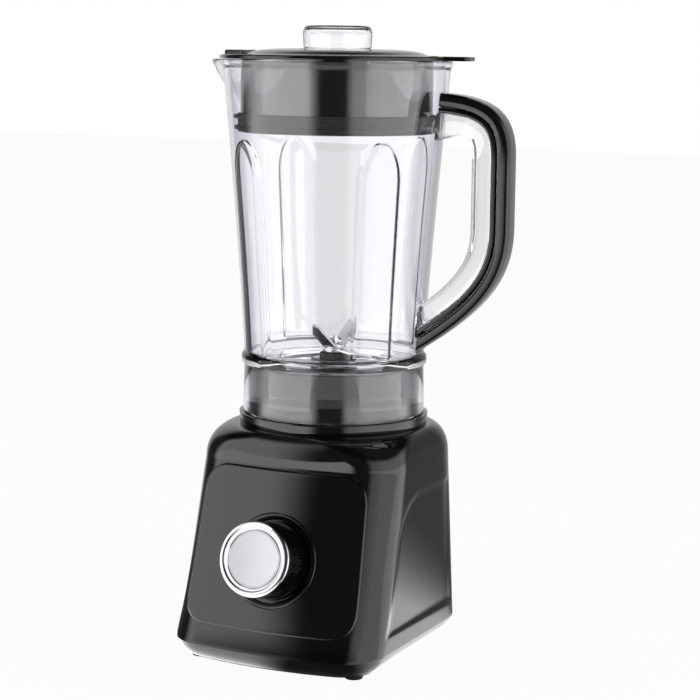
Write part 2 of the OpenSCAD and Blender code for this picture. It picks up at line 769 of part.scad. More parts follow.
// Blade unit: the hub is clamped to the jar's floor by its nut, on a gasket
gasket_t = 1.2;
hub_low_z = pedestal_z + 1.2;
hub_flange_z = jar_well_z + gasket_t;
bush_r = 5;
blade_shaft_r = blade_shaft_d / 2;
module hub_gasket() { color(rubber) ring(hub_hole_r + 4, hub_hole_r - 0.1, jar_well_z, hub_flange_z); }
module blade_hub() {
    color(black) difference() {
        union() {
            disc(hub_hole_r - 0.2, hub_low_z, hub_flange_z);
            disc(hub_hole_r + 4, hub_flange_z, hub_flange_z + 2.4);
            disc(hub_r, hub_flange_z + 2, hub_top_z);
        }
        disc(bush_r, hub_low_z - cut, hub_top_z + cut);
    }
}
module hub_nut() {
    color(dark) difference() {
        ring(hub_hole_r + 6, hub_hole_r - 0.15, hub_low_z + 1, jar_well_z - jar_wall);
        for (i = [0 : 7]) rotate(i * 45) translate([hub_hole_r + 5, -2, hub_low_z]) cube([4, 4, 20]);
    }
}
module hub_bushes() {
    color(bronze) {
        ring(bush_r, blade_shaft_r + running_fit, hub_low_z, hub_low_z + 7);
        ring(bush_r, blade_shaft_r + running_fit, hub_top_z - 10, hub_top_z - 2.2);
    }
}
module shaft_seal() { color(rubber) ring(bush_r, blade_shaft_r + running_fit, hub_top_z - 2.2, hub_top_z); }

// The stack on the blade shaft, from the hub up
washer_t = 1;
lower_blade_z = hub_top_z + part_gap + washer_t;
upper_blade_z = lower_blade_z + blade_t + washer_t;
nut_z = upper_blade_z + blade_t + washer_t / 2;
nut_h = 4;
blade_disc_r = 7;
upper_slope = 38;
lower_slope = -9;
upper_blade_turn = 80;
blade_start = 5.4;
driven_z = drive_z + dog_root + dog_h + 2;
driven_h = 3.4;
clip_z = driven_z + driven_h + 0.4;
module blade_shaft() { color(steel) disc(blade_shaft_r, driven_z - 5, nut_z + nut_h + 1); }
// A pair of blades bent up by a slope, on a disc round the shaft
module blade_pair(z, reach, slope, turn) {
    l = (reach - blade_start) / cos(slope);
    color(silver) rotate(turn) difference() {
        union() {
            disc(blade_disc_r, z, z + blade_t);
            for (a = [0, 180]) rotate(a) translate([blade_start, 0, z]) rotate([0, -slope, 0])
                linear_extrude(blade_t) polygon([[0, -blade_w / 2], [l * 0.55, -blade_w / 2],
                    [l, blade_w * 0.2], [l * 0.9, blade_w / 2], [0, blade_w / 2]]);
        }
        disc(blade_shaft_r, z - 10, z + 20);
    }
}
module upper_blades() { blade_pair(upper_blade_z, upper_blade_reach, upper_slope, upper_blade_turn); }
module lower_blades() { blade_pair(lower_blade_z, lower_blade_reach, lower_slope, upper_blade_turn + 90); }
module blade_washers() {
    color(silver) {
        ring(5.6, blade_shaft_r, lower_blade_z - washer_t, lower_blade_z);
        ring(5.6, blade_shaft_r, lower_blade_z + blade_t, upper_blade_z);
        ring(4.4, blade_shaft_r, upper_blade_z + blade_t, nut_z);
    }
}
module blade_nut() {
    color(silver) difference() {
        translate([0, 0, nut_z]) cylinder(h = nut_h, r = 5, $fn = 6);
        disc(blade_shaft_r, nut_z - cut, nut_z + nut_h + cut);
    }
}
module blade_coupling() {
    color(dark) {
        ring(dog_out + 1, blade_shaft_r, driven_z, driven_z + driven_h);
        dogs(driven_z - dog_h - 0.8, driven_z + driven_h / 2, 45);
    }
}
module shaft_clip() { color(steel) ring(blade_shaft_r + 2.2, blade_shaft_r, clip_z, clip_z + 0.8); }

// Lid: a flange on the rim, a deep skirt, a low dome and a collar for the measuring cap
flange_z = rim_z + part_gap;
flange_top = flange_z + flange_t;
dome_top = flange_top + dome_rise;
dome_r = 54;
skirt_wall = 2.4;
plug_r = cap_d / 2 - 1.5;
collar_in = plug_r + part_gap;
tab_w = 26;
tab_reach = jar_rim_r + 14.2;
module lid() {
    w = skirt_wall;
    color(black) jar_frame() {
        rotate_extrude() polygon([
            [collar_in, dome_top - 12], [collar_in + w, dome_top - 12], [collar_in + w, dome_top - w],
            [dome_r - 20, dome_top - w], [dome_r - w, flange_z], [skirt_r - w - 2, flange_z],
            [skirt_r - w, flange_z - 2], [skirt_r - w, skirt_z], [skirt_r, skirt_z], [skirt_r, flange_z],
            [jar_rim_r + 1.2, flange_z], [jar_rim_r + 1.2, flange_top], [dome_r, flange_top],
            [dome_r - 8, flange_top + dome_rise * 0.55], [dome_r - 20, dome_top - 0.4],
            [collar_in, dome_top]]);
        translate([0, 0, flange_z]) linear_extrude(flange_t) polygon([
            [jar_rim_r - 4, -tab_w / 2], [tab_reach, -tab_w / 2 + 3],
            [tab_reach, tab_w / 2 - 3], [jar_rim_r - 4, tab_w / 2]]);
        translate([0, 0, flange_z]) linear_extrude(flange_t - 0.6) polygon([
            [-jar_rim_r + 6, -20], [-spout_reach + 5, -3], [-spout_reach + 5, 3], [-jar_rim_r + 6, 20]]);
        translate([0, 0, flange_top - 0.2]) linear_extrude(2.8) polygon([
            [-dome_r - 2, -14], [-71, -4], [-71, 4], [-dome_r - 2, 14]]);
    }
}

seal_h = 11;
seal_lips = [2, 8.5];
module lid_seal() {
    lip_t = 1.6;
    color(rubber) {
        ring(skirt_r + 1.6, skirt_r + seat_gap / 2, skirt_z + 0.5, skirt_z + seal_h);
        for (z = seal_lips) let (h = skirt_z + z)
            ring(jar_r(h) - jar_wall - part_gap, skirt_r + 1, h, h + lip_t);
    }
}

module measuring_cap() {
    head_z = dome_top + part_gap;
    top_z = dome_top + cap_h;
    r = cap_d / 2;
    color(clear) rotate_extrude() polygon([
        [plug_r - 2, dome_top - 16], [plug_r, dome_top - 16], [plug_r, head_z], [r - 0.6, head_z],
        [r, top_z - 3], [r - 2, top_z], [0, top_z], [0, top_z - 3], [r - 4, top_z - 3]]);
}

housing();
front_panel();
bottom_cover();
for (i = [0 : 3]) foot(i);
jar_seat();
knob_bezel();
speed_switch();
switch_nut();
motor_stator();
field_coils();
upper_bracket();
lower_bracket();
bearing(upper_bearing_z);  // upper_bearing
bearing(lower_bearing_z);  // lower_bearing
brush_holders();
carbon_brushes();
motor_isolators();
motor_screws();
cover_screws();
seat_screws();
cord_inlet();
terminal_block();
motor_shaft();
armature_core();
armature_winding();
commutator();
cooling_fan();
drive_coupling();
speed_knob();
knob_ring();
knob_disc();
switch_shaft();
jar();
jar_handle();
handle_grip();
jar_sleeve();
hub_gasket();
blade_hub();
hub_nut();
hub_bushes();
shaft_seal();
blade_shaft();
upper_blades();
lower_blades();
blade_washers();
blade_nut();
blade_coupling();
shaft_clip();
lid();
lid_seal();
measuring_cap();
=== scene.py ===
"""A countertop blender: the detailed pieces, finishes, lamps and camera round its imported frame."""

import json
import logging
import math
from dataclasses import dataclass, field
from enum import Enum

import bmesh
import bpy
import numpy as np
from mathutils import Matrix, Vector


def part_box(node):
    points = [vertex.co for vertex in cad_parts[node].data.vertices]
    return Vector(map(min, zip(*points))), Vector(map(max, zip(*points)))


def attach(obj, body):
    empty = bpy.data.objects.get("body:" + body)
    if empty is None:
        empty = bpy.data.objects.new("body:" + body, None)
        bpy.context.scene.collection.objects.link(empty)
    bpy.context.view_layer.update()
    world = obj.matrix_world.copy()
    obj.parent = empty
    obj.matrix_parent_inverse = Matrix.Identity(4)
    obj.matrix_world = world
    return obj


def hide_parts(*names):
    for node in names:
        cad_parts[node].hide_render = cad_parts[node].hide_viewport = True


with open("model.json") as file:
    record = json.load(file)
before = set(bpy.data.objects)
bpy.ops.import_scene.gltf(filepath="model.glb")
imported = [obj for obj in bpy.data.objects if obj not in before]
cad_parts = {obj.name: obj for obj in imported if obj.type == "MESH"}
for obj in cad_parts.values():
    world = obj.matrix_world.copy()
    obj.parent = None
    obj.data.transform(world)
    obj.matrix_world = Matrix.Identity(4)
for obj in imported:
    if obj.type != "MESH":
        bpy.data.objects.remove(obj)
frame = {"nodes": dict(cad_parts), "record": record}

MM = 0.001
LOG = logging.getLogger("blender")
SHARP_DEG = 32.0
SMOOTH_EDGE_DEG = 28.0
MOTTLE_GRAINS = 25
SHEEN_GRAINS = 6


class Body(Enum):
    """The moving bodies of the blender."""

    BASE = "base"
    ROTOR = "rotor"
    KNOB = "knob"
    JAR = "jar"
    BLADES = "blades"
    LID = "lid"
    CAP = "cap"


class Pattern(Enum):
    """What gives a finish its fine relief."""

    MOULDED = "moulded"
    SPUN = "spun"
    STACKED = "stacked"
    WOUND = "wound"


# ---------------------------------------------------------------- nodes and objects


def feed(tree: bpy.types.NodeTree, node: bpy.types.Node, inputs: dict) -> bpy.types.Node:
    """Sets a node's inputs, or links them to what feeds them.

    Args:
        tree: the node's tree.
        node: the node.
        inputs: a value or a socket for each input, by its name or number.

    Returns:
        The same node.
    """
    for key, value in inputs.items():
        if isinstance(value, bpy.types.NodeSocket):
            tree.links.new(value, node.inputs[key])
        else:
            node.inputs[key].default_value = value
    return node


def add_node(tree: bpy.types.NodeTree, kind: str, inputs: dict | None = None,
             **settings: str) -> bpy.types.Node:
    """A new node.

    Args:
        tree: the tree it goes into.
        kind: the node's type.
        inputs: a value or a socket for each input, by its name or number.
        settings: the node's own properties.

    Returns:
        The node.
    """
    node = tree.nodes.new(kind)
    for name, value in settings.items():
        setattr(node, name, value)
    return feed(tree, node, inputs or {})


def new_object(name: str, data: bpy.types.ID) -> bpy.types.Object:
    """A new object round its data, linked to the scene."""
    piece = bpy.data.objects.new(name, data)
    bpy.context.scene.collection.objects.link(piece)
    return piece


# ---------------------------------------------------------------- finishes


@dataclass(frozen=True)
class Finish:
    """One surface finish.

    Args:
        slot: name of the record's material slot.
        colour: main colour, linear.
        shade: share by which the colour darkens in its mottle.
        rough: lowest and highest roughness.
        bump: height of the fine relief, in millimetres.
        grain: size of the relief's pattern, in millimetres.
        metallic: 1 for a metal.
        clear: 1 for a see-through plastic.
        ior: index of refraction.
        edge: colour towards a clear piece's edges.
        pattern: kind of fine relief.
    """

    slot: str
    colour: tuple[float, float, float]
    shade: float = 0.1
    rough: tuple[float, float] = (0.3, 0.4)
    bump: float = 0.01
    grain: float = 1.0
    metallic: float = 0.0
    clear: float = 0.0
    ior: float = 1.5
    edge: tuple[float, float, float] | None = None
    pattern: Pattern = Pattern.MOULDED

    def material(self, place: Matrix | None = None) -> bpy.types.Material:
        """The finish as a node material.

        Args:
            place: frame of a turned pattern, such as the spun disc's.

        Returns:
            The material, made once for each finish and place.
        """
        name = self.slot if place is None else f"{self.slot}_turned"
        found = bpy.data.materials.get(f"finish_{name}")
        if found:
            return found
        material = bpy.data.materials.new(f"finish_{name}")
        material.use_nodes = True
        tree = material.node_tree
        coords = add_node(tree, "ShaderNodeTexCoord")
        mapping = add_node(tree, "ShaderNodeMapping", {"Vector": coords.outputs["Object"]})
        if place is not None:
            mapping.vector_type = "TEXTURE"
            feed(tree, mapping, {"Location": place.translation, "Rotation": place.to_euler()})
        vector = mapping.outputs["Vector"]
        dark = [c * (1 - self.shade) for c in self.colour]
        colour = add_node(tree, "ShaderNodeMix", {
            "Factor": self._noise(tree, vector, self.grain * MOTTLE_GRAINS, 3.0),
            "A": (*self.colour, 1), "B": (*dark, 1)}, data_type="RGBA").outputs["Result"]
        if self.edge is not None:
            colour = self._edged(tree, colour)
        rough = add_node(tree, "ShaderNodeMapRange", {
            "Value": self._noise(tree, vector, self.grain * SHEEN_GRAINS, 2.0),
            "To Min": self.rough[0], "To Max": self.rough[1]})
        bump = add_node(tree, "ShaderNodeBump", {
            "Height": self._relief(tree, vector), "Distance": self.bump * MM, "Strength": 1.0})
        feed(tree, tree.nodes["Principled BSDF"], {
            "Base Color": colour, "Roughness": rough.outputs["Result"], "Normal": bump.outputs["Normal"],
            "Metallic": self.metallic, "IOR": self.ior, "Transmission Weight": self.clear})
        return material

    def _edged(self, tree: bpy.types.NodeTree, colour: bpy.types.NodeSocket) -> bpy.types.NodeSocket:
        """The colour turning to the edge tint where the surface is seen aslant.

        Args:
            tree: the material's tree.
            colour: the colour seen square on.

        Returns:
            The mixed colour.
        """
        facing = add_node(tree, "ShaderNodeLayerWeight", {"Blend": 0.32})
        tint = add_node(tree, "ShaderNodeMix", {
            "Factor": facing.outputs["Facing"], "A": colour, "B": (*self.edge, 1)}, data_type="RGBA")
        return tint.outputs["Result"]

    def _noise(self, tree: bpy.types.NodeTree, vector: bpy.types.NodeSocket, size: float,
               detail: float) -> bpy.types.NodeSocket:
        """A noise pattern's value.

        Args:
            tree: the material's tree.
            vector: the coordinates it reads.
            size: size of its cells, in millimetres.
            detail: octaves of finer noise.

        Returns:
            The noise's value socket.
        """
        return add_node(tree, "ShaderNodeTexNoise", {
            "Scale": 1.0 / (size * MM), "Detail": detail, "Vector": vector}).outputs["Fac"]

    def _relief(self, tree: bpy.types.NodeTree, vector: bpy.types.NodeSocket) -> bpy.types.NodeSocket:
        """The height pattern of the fine relief.

        Args:
            tree: the material's tree.
            vector: the coordinates it reads.

        Returns:
            The height socket.
        """
        if self.pattern is Pattern.MOULDED:
            return self._noise(tree, vector, self.grain, 4.0)
        wave = add_node(tree, "ShaderNodeTexWave", {
            "Scale": 1.0 / (self.grain * MM) / math.tau, "Distortion": 0.4, "Detail": 2.0, "Vector": vector})
        if self.pattern is Pattern.SPUN:
            wave.wave_type = "RINGS"
            wave.rings_direction = "Z"
        else:
            wave.bands_direction = "Z" if self.pattern is Pattern.STACKED else "DIAGONAL"
        return wave.outputs["Fac"]


FINISHES = {f.slot: f for f in (
    Finish("black_gloss", (0.004, 0.004, 0.0045), 0.2, (0.04, 0.08), 0.0012, 3.0, ior=1.56),
    Finish("black_matte", (0.022, 0.022, 0.024), 0.3, (0.42, 0.55), 0.02, 0.5),
    Finish("clear_plastic", (0.985, 0.985, 1.0), 0.01, (0.0, 0.015), 0.0005, 6.0, clear=1.0,
           ior=1.46, edge=(0.83, 0.82, 0.93)),
    Finish("chrome", (0.6, 0.6, 0.62), 0.04, (0.06, 0.12), 0.001, 2.0, metallic=1.0),
    Finish("spun_aluminium", (0.62, 0.63, 0.65), 0.08, (0.26, 0.34), 0.006, 0.35, metallic=0.8,
           pattern=Pattern.SPUN),
    Finish("blade_steel", (0.62, 0.62, 0.64), 0.12, (0.14, 0.24), 0.004, 0.4, metallic=1.0),
    Finish("steel", (0.5, 0.51, 0.53), 0.15, (0.28, 0.4), 0.006, 0.6, metallic=1.0),
    Finish("lamination", (0.3, 0.3, 0.32), 0.2, (0.4, 0.5), 0.12, 0.5, metallic=1.0,
           pattern=Pattern.STACKED),
    Finish("bracket_metal", (0.55, 0.56, 0.57), 0.15, (0.38, 0.5), 0.03, 0.5, metallic=1.0),
    Finish("copper", (0.66, 0.27, 0.12), 0.25, (0.24, 0.34), 0.1, 0.5, metallic=1.0,
           pattern=Pattern.WOUND),
    Finish("bronze", (0.55, 0.36, 0.17), 0.2, (0.35, 0.45), 0.02, 0.4, metallic=1.0),
    Finish("carbon", (0.03, 0.03, 0.03), 0.3, (0.5, 0.65), 0.03, 0.3),
    Finish("nylon", (0.72, 0.7, 0.63), 0.08, (0.35, 0.45), 0.01, 0.8),
    Finish("black_rubber", (0.016, 0.016, 0.016), 0.25, (0.6, 0.75), 0.03, 0.35),
    Finish("gasket_rubber", (0.4, 0.4, 0.41), 0.1, (0.5, 0.6), 0.02, 0.4),
)}


# ---------------------------------------------------------------- meshes


def mesh_object(name: str, points: np.ndarray, faces: list[tuple[int, ...]],
                sharp_deg: float = SHARP_DEG) -> bpy.types.Object:
    """An object with a closed, smooth-shaded mesh.

    Args:
        name: the piece's name.
        points: vertices, in millimetres.
        faces: vertex numbers of each face.
        sharp_deg: edges bent more than this stay crisp.

    Returns:
        The linked object, its doubles merged and its faces outwards.
    """
    mesh = bpy.data.meshes.new(name)
    mesh.from_pydata((np.asarray(points, float) * MM).tolist(), [], faces)
    work = bmesh.new()
    work.from_mesh(mesh)
    bmesh.ops.remove_doubles(work, verts=work.verts, dist=0.002 * MM)
    bmesh.ops.dissolve_degenerate(work, edges=work.edges, dist=0.0005 * MM)
    bmesh.ops.recalc_face_normals(work, faces=work.faces)
    work.to_mesh(mesh)
    work.free()
    mesh.shade_smooth()
    mesh.set_sharp_from_angle(angle=math.radians(sharp_deg))
    return new_object(name, mesh)


def grid_faces(rows: int, columns: int, loop_rows: bool) -> list[tuple[int, ...]]:
    """The quads between rows of points whose columns run round.

    Args:
        rows: number of rows.
        columns: points in a row.
        loop_rows: whether the last row joins the first.

    Returns:
        The faces as vertex numbers.
    """
    faces = []
    for j in range(rows if loop_rows else rows - 1):
        k = (j + 1) % rows
        for i in range(columns):
            n = (i + 1) % columns
            faces.append((j * columns + i, j * columns + n, k * columns + n, k * columns + i))
    return faces


def loft(name: str, rings: np.ndarray, loop_rows: bool = False,
         sharp_deg: float = SHARP_DEG) -> bpy.types.Object:
    """A closed skin through rings of points.

    Args:
        name: the piece's name.
        rings: array of rings, points and x, y, z, in millimetres.
        loop_rows: True for a ring-shaped skin, False to close both ends with a face.
        sharp_deg: edges bent more than this stay crisp.

    Returns:
        The object.
    """
    rows, columns = rings.shape[:2]
    faces = grid_faces(rows, columns, loop_rows)
    if not loop_rows:
        faces.append(tuple(range(columns)))
        faces.append(tuple((rows - 1) * columns + i for i in range(columns)))
    return mesh_object(name, rings.reshape(-1, 3), faces, sharp_deg)


def rounded(corners: list[tuple[float, ...]], steps: int = 5) -> np.ndarray:
    """A closed outline with rounded corners.

    Args:
        corners: (x, y) or (x, y, radius) of each corner.
        steps: pieces of each rounding.

    Returns:
        Points of the outline.
    """
    points = []
    count = len(corners)
    for i, corner in enumerate(corners):
        here = np.array(corner[:2], float)
        radius = corner[2] if len(corner) > 2 else 0.0
        before = np.array(corners[i - 1][:2], float) - here
        after = np.array(corners[(i + 1) % count][:2], float) - here
        reach = min(radius, 0.49 * np.linalg.norm(before), 0.49 * np.linalg.norm(after))
        if reach < 1e-4:
            points.append(here)
            continue
        start = here + before / np.linalg.norm(before) * reach
        end = here + after / np.linalg.norm(after) * reach
        for t in np.linspace(0, 1, steps + 1):
            points.append((1 - t) ** 2 * start + 2 * t * (1 - t) * here + t * t * end)
    return np.array(points)


def circle(radius: np.ndarray | float, angles: np.ndarray, z: np.ndarray | float) -> np.ndarray:
    """Points round the upright axis.

    Args:
        radius: distance from the axis, the same or one for each point.
        angles: direction of each point, in radians.
        z: height, the same or one for each point.

    Returns:
        The points.
    """
    return np.stack(np.broadcast_arrays(radius * np.cos(angles), radius * np.sin(angles), z), axis=-1)


def lathe(name: str, profile: np.ndarray, steps: int = 180, place: Matrix | None = None,
          sharp_deg: float = SHARP_DEG) -> bpy.types.Object:
    """A closed profile turned round an axis.

    Args:
        name: the piece's name.
        profile: closed outline of (radius, height), in millimetres.
        steps: sides of the turned shape.
        place: frame of the axis, or None for the upright axis at the origin.
        sharp_deg: edges bent more than this stay crisp.

    Returns:
        The object.
    """
    angles = np.arange(steps) * 2 * math.pi / steps
    rings = circle(profile[:, 0:1], angles, profile[:, 1:2])
    if place is not None:
        rings = moved(rings, place)
    return loft(name, rings, True, sharp_deg)


def moved(points: np.ndarray, place: Matrix) -> np.ndarray:
    """Points taken from a local frame, in millimetres, into the object's frame.

    Args:
        points: array whose last axis is x, y, z.
        place: the local frame, its origin in metres.

    Returns:
        The points, in millimetres.
    """
    return points @ np.array(place.to_3x3()).T + np.array(place.translation) / MM


def turned(points: np.ndarray, degrees: float) -> np.ndarray:
    """Points turned about the upright axis.

    Args:
        points: array whose last axis is x, y, z.
        degrees: the turn, seen from above.

    Returns:
        The turned points.
    """
    return moved(points, Matrix.Rotation(math.radians(degrees), 4, "Z"))


def smooth(value: np.ndarray) -> np.ndarray:
    """A ramp from 0 to 1 with soft ends.

    Args:
        value: where along the ramp, cut to 0 and 1.

    Returns:
        The ramp's height.
    """
    t = np.clip(value, 0, 1)
    return t * t * (3 - 2 * t)


def refined(node: str, bevel: float) -> bpy.types.Object:
    """A smooth copy of a CAD node with softened edges.

    Args:
        node: the CAD node's name.
        bevel: width of the softened edges, in millimetres.

    Returns:
        The copy, with its doubles merged.
    """
    mesh = frame["nodes"][node].data.copy()
    mesh.name = f"{node}_fine"
    mesh.materials.clear()
    work = bmesh.new()
    work.from_mesh(mesh)
    bmesh.ops.remove_doubles(work, verts=work.verts, dist=0.001 * MM)
    bmesh.ops.dissolve_limit(work, angle_limit=math.radians(0.4), verts=work.verts, edges=work.edges)
    work.to_mesh(mesh)
    work.free()
    for layer in list(mesh.attributes):
        if layer.name in ("custom_normal", "sharp_face", "sharp_edge"):
            mesh.attributes.remove(layer)
    mesh.shade_smooth()
    mesh.set_sharp_from_angle(angle=math.radians(SMOOTH_EDGE_DEG))
    piece = new_object(f"{node}_fine", mesh)
    modifier = piece.modifiers.new("edges", "BEVEL")
    modifier.width = bevel * MM
    modifier.segments = 2
    modifier.limit_method = "ANGLE"
    modifier.angle_limit = math.radians(SMOOTH_EDGE_DEG)
    modifier.use_clamp_overlap = True
    piece.data = evaluated(piece)
    piece.data.set_sharp_from_angle(angle=math.radians(SMOOTH_EDGE_DEG + 12))
    return piece


def evaluated(piece: bpy.types.Object) -> bpy.types.Mesh:
    """The mesh that a piece's modifiers give, with the modifiers removed.

    Args:
        piece: the object, whose modifiers are cleared.

    Returns:
        The plain mesh.
    """
    graph = bpy.context.evaluated_depsgraph_get()
    mesh = bpy.data.meshes.new_from_object(piece.evaluated_get(graph))
    mesh.name = f"{piece.name}_mesh"
    piece.modifiers.clear()
    return mesh


def dress(piece: bpy.types.Object, body: Body, slot: str, *nodes: str,
          place: Matrix | None = None) -> None:
    """Gives a finished piece its finish, its body and the CAD nodes it stands for.

    Args:
        piece: the finished piece.
        body: the body it moves with.
        slot: name of its material slot.
        nodes: CAD nodes that it replaces.
        place: frame of a turned pattern.
    """
    piece.data.materials.clear()
    piece.data.materials.append(FINISHES[slot].material(place))
    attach(piece, body.value)
    if nodes:
        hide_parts(*nodes)
    LOG.info("%s rides on %s, %d faces", piece.name, body.value, len(piece.data.polygons))


# ---------------------------------------------------------------- geometry nodes


class NodeTrees:
    """The two node trees that make what repeats and what follows a path."""

    @staticmethod
    def _start(name: str, inputs: dict[str, str]) -> tuple:
        """An empty tree with a geometry input and output.

        Args:
            name: the tree's name.
            inputs: socket type of each further input.

        Returns:
            The tree, its input node and its output node.
        """
        tree = bpy.data.node_groups.new(name, "GeometryNodeTree")
        tree.interface.new_socket("Geometry", in_out="INPUT", socket_type="NodeSocketGeometry")
        for label, kind in inputs.items():
            tree.interface.new_socket(label, in_out="INPUT", socket_type=kind)
        tree.interface.new_socket("Geometry", in_out="OUTPUT", socket_type="NodeSocketGeometry")
        return tree, tree.nodes.new("NodeGroupInput"), tree.nodes.new("NodeGroupOutput")

    @staticmethod
    def _finish(tree: bpy.types.NodeTree, start: bpy.types.Node, end: bpy.types.Node,
                shape: bpy.types.NodeSocket) -> None:
        """Realizes a shape, sets its material and sends it out.

        Args:
            tree: the tree.
            start: its input node.
            end: its output node.
            shape: the geometry.
        """
        real = add_node(tree, "GeometryNodeRealizeInstances", {"Geometry": shape})
        paint = add_node(tree, "GeometryNodeSetMaterial", {
            "Geometry": real.outputs["Geometry"], "Material": start.outputs["Material"]})
        feed(tree, end, {"Geometry": paint.outputs["Geometry"]})

    @classmethod
    def turned_copies(cls) -> bpy.types.NodeTree:
        """The tree that repeats a shape round the upright axis."""
        found = bpy.data.node_groups.get("turned_copies")
        if found:
            return found
        tree, start, end = cls._start("turned_copies", {
            "Count": "NodeSocketInt", "Step": "NodeSocketFloat", "Material": "NodeSocketMaterial"})
        points = add_node(tree, "GeometryNodePoints", {"Count": start.outputs["Count"]})
        index = add_node(tree, "GeometryNodeInputIndex")
        angle = add_node(tree, "ShaderNodeMath", {
            0: index.outputs["Index"], 1: start.outputs["Step"]}, operation="MULTIPLY")
        turn = add_node(tree, "ShaderNodeCombineXYZ", {"Z": angle.outputs["Value"]})
        copies = add_node(tree, "GeometryNodeInstanceOnPoints", {
            "Points": points.outputs["Points"], "Instance": start.outputs["Geometry"],
            "Rotation": turn.outputs["Vector"]})
        cls._finish(tree, start, end, copies.outputs["Instances"])
        return tree

    @classmethod
    def wire(cls) -> bpy.types.NodeTree:
        """The tree that lays a round wire along a line of edges."""
        found = bpy.data.node_groups.get("wire")
        if found:
            return found
        tree, start, end = cls._start("wire", {
            "Radius": "NodeSocketFloat", "Sides": "NodeSocketInt", "Material": "NodeSocketMaterial"})
        line = add_node(tree, "GeometryNodeMeshToCurve", {"Mesh": start.outputs["Geometry"]})
        section = add_node(tree, "GeometryNodeCurvePrimitiveCircle", {
            "Resolution": start.outputs["Sides"], "Radius": start.outputs["Radius"]})
        sweep = add_node(tree, "GeometryNodeCurveToMesh", {
            "Curve": line.outputs["Curve"], "Profile Curve": section.outputs["Curve"], "Fill Caps": True})
        cls._finish(tree, start, end, sweep.outputs["Mesh"])
        return tree

    @staticmethod
    def run(piece: bpy.types.Object, tree: bpy.types.NodeTree, slot: str, **values: float) -> None:
        """Runs a tree on a piece and keeps the plain mesh.

        Args:
            piece: the object with the seed shape.
            tree: the tree to run.
            slot: the finish's slot.
            values: the tree's inputs by name.
        """
        modifier = piece.modifiers.new(tree.name, "NODES")
        modifier.node_group = tree
        given = {**values, "Material": FINISHES[slot].material()}
        for item in tree.interface.items_tree:
            if item.item_type == "SOCKET" and item.in_out == "INPUT" and item.name in given:
                modifier[item.identifier] = given[item.name]
        piece.data = evaluated(piece)
        piece.data.shade_smooth()
        piece.data.set_sharp_from_angle(angle=math.radians(SHARP_DEG))


def round_copies(name: str, rings: np.ndarray, slot: str, count: int,
                 place: Matrix | None = None) -> bpy.types.Object:
    """A lofted shape repeated round an axis.

    Args:
        name: the piece's name.
        rings: rings of the first shape, in millimetres.
        slot: the finish's slot.
        count: number of shapes.
        place: frame of the axis, or None for the upright axis.

    Returns:
        The object with all the shapes.
    """
    piece = loft(name, rings)
    NodeTrees.run(piece, NodeTrees.turned_copies(), slot, Count=count, Step=2 * math.pi / count)
    if place is not None:
        piece.data.transform(place)
    return piece


def block(low: tuple[float, float, float], high: tuple[float, float, float], radius: float) -> np.ndarray:
    """Rings of a block with rounded upright edges and a softened top.

    Args:
        low: lowest corner, in millimetres.
        high: highest corner, in millimetres.
        radius: rounding of its upright edges.

    Returns:
        Its rings, from the bottom up.
    """
    rings = []
    soft = min(0.3, radius / 2)
    for z, inset in ((low[2], soft), (low[2] + soft, 0), (high[2] - soft, 0), (high[2], soft)):
        left, front, right, back = low[0] + inset, low[1] + inset, high[0] - inset, high[1] - inset
        outline = rounded([(left, front, radius), (right, front, radius), (right, back, radius),
                           (left, back, radius)], 3)
        rings.append(np.column_stack([outline, np.full(len(outline), z)]))
    return np.array(rings)


# ---------------------------------------------------------------- the base


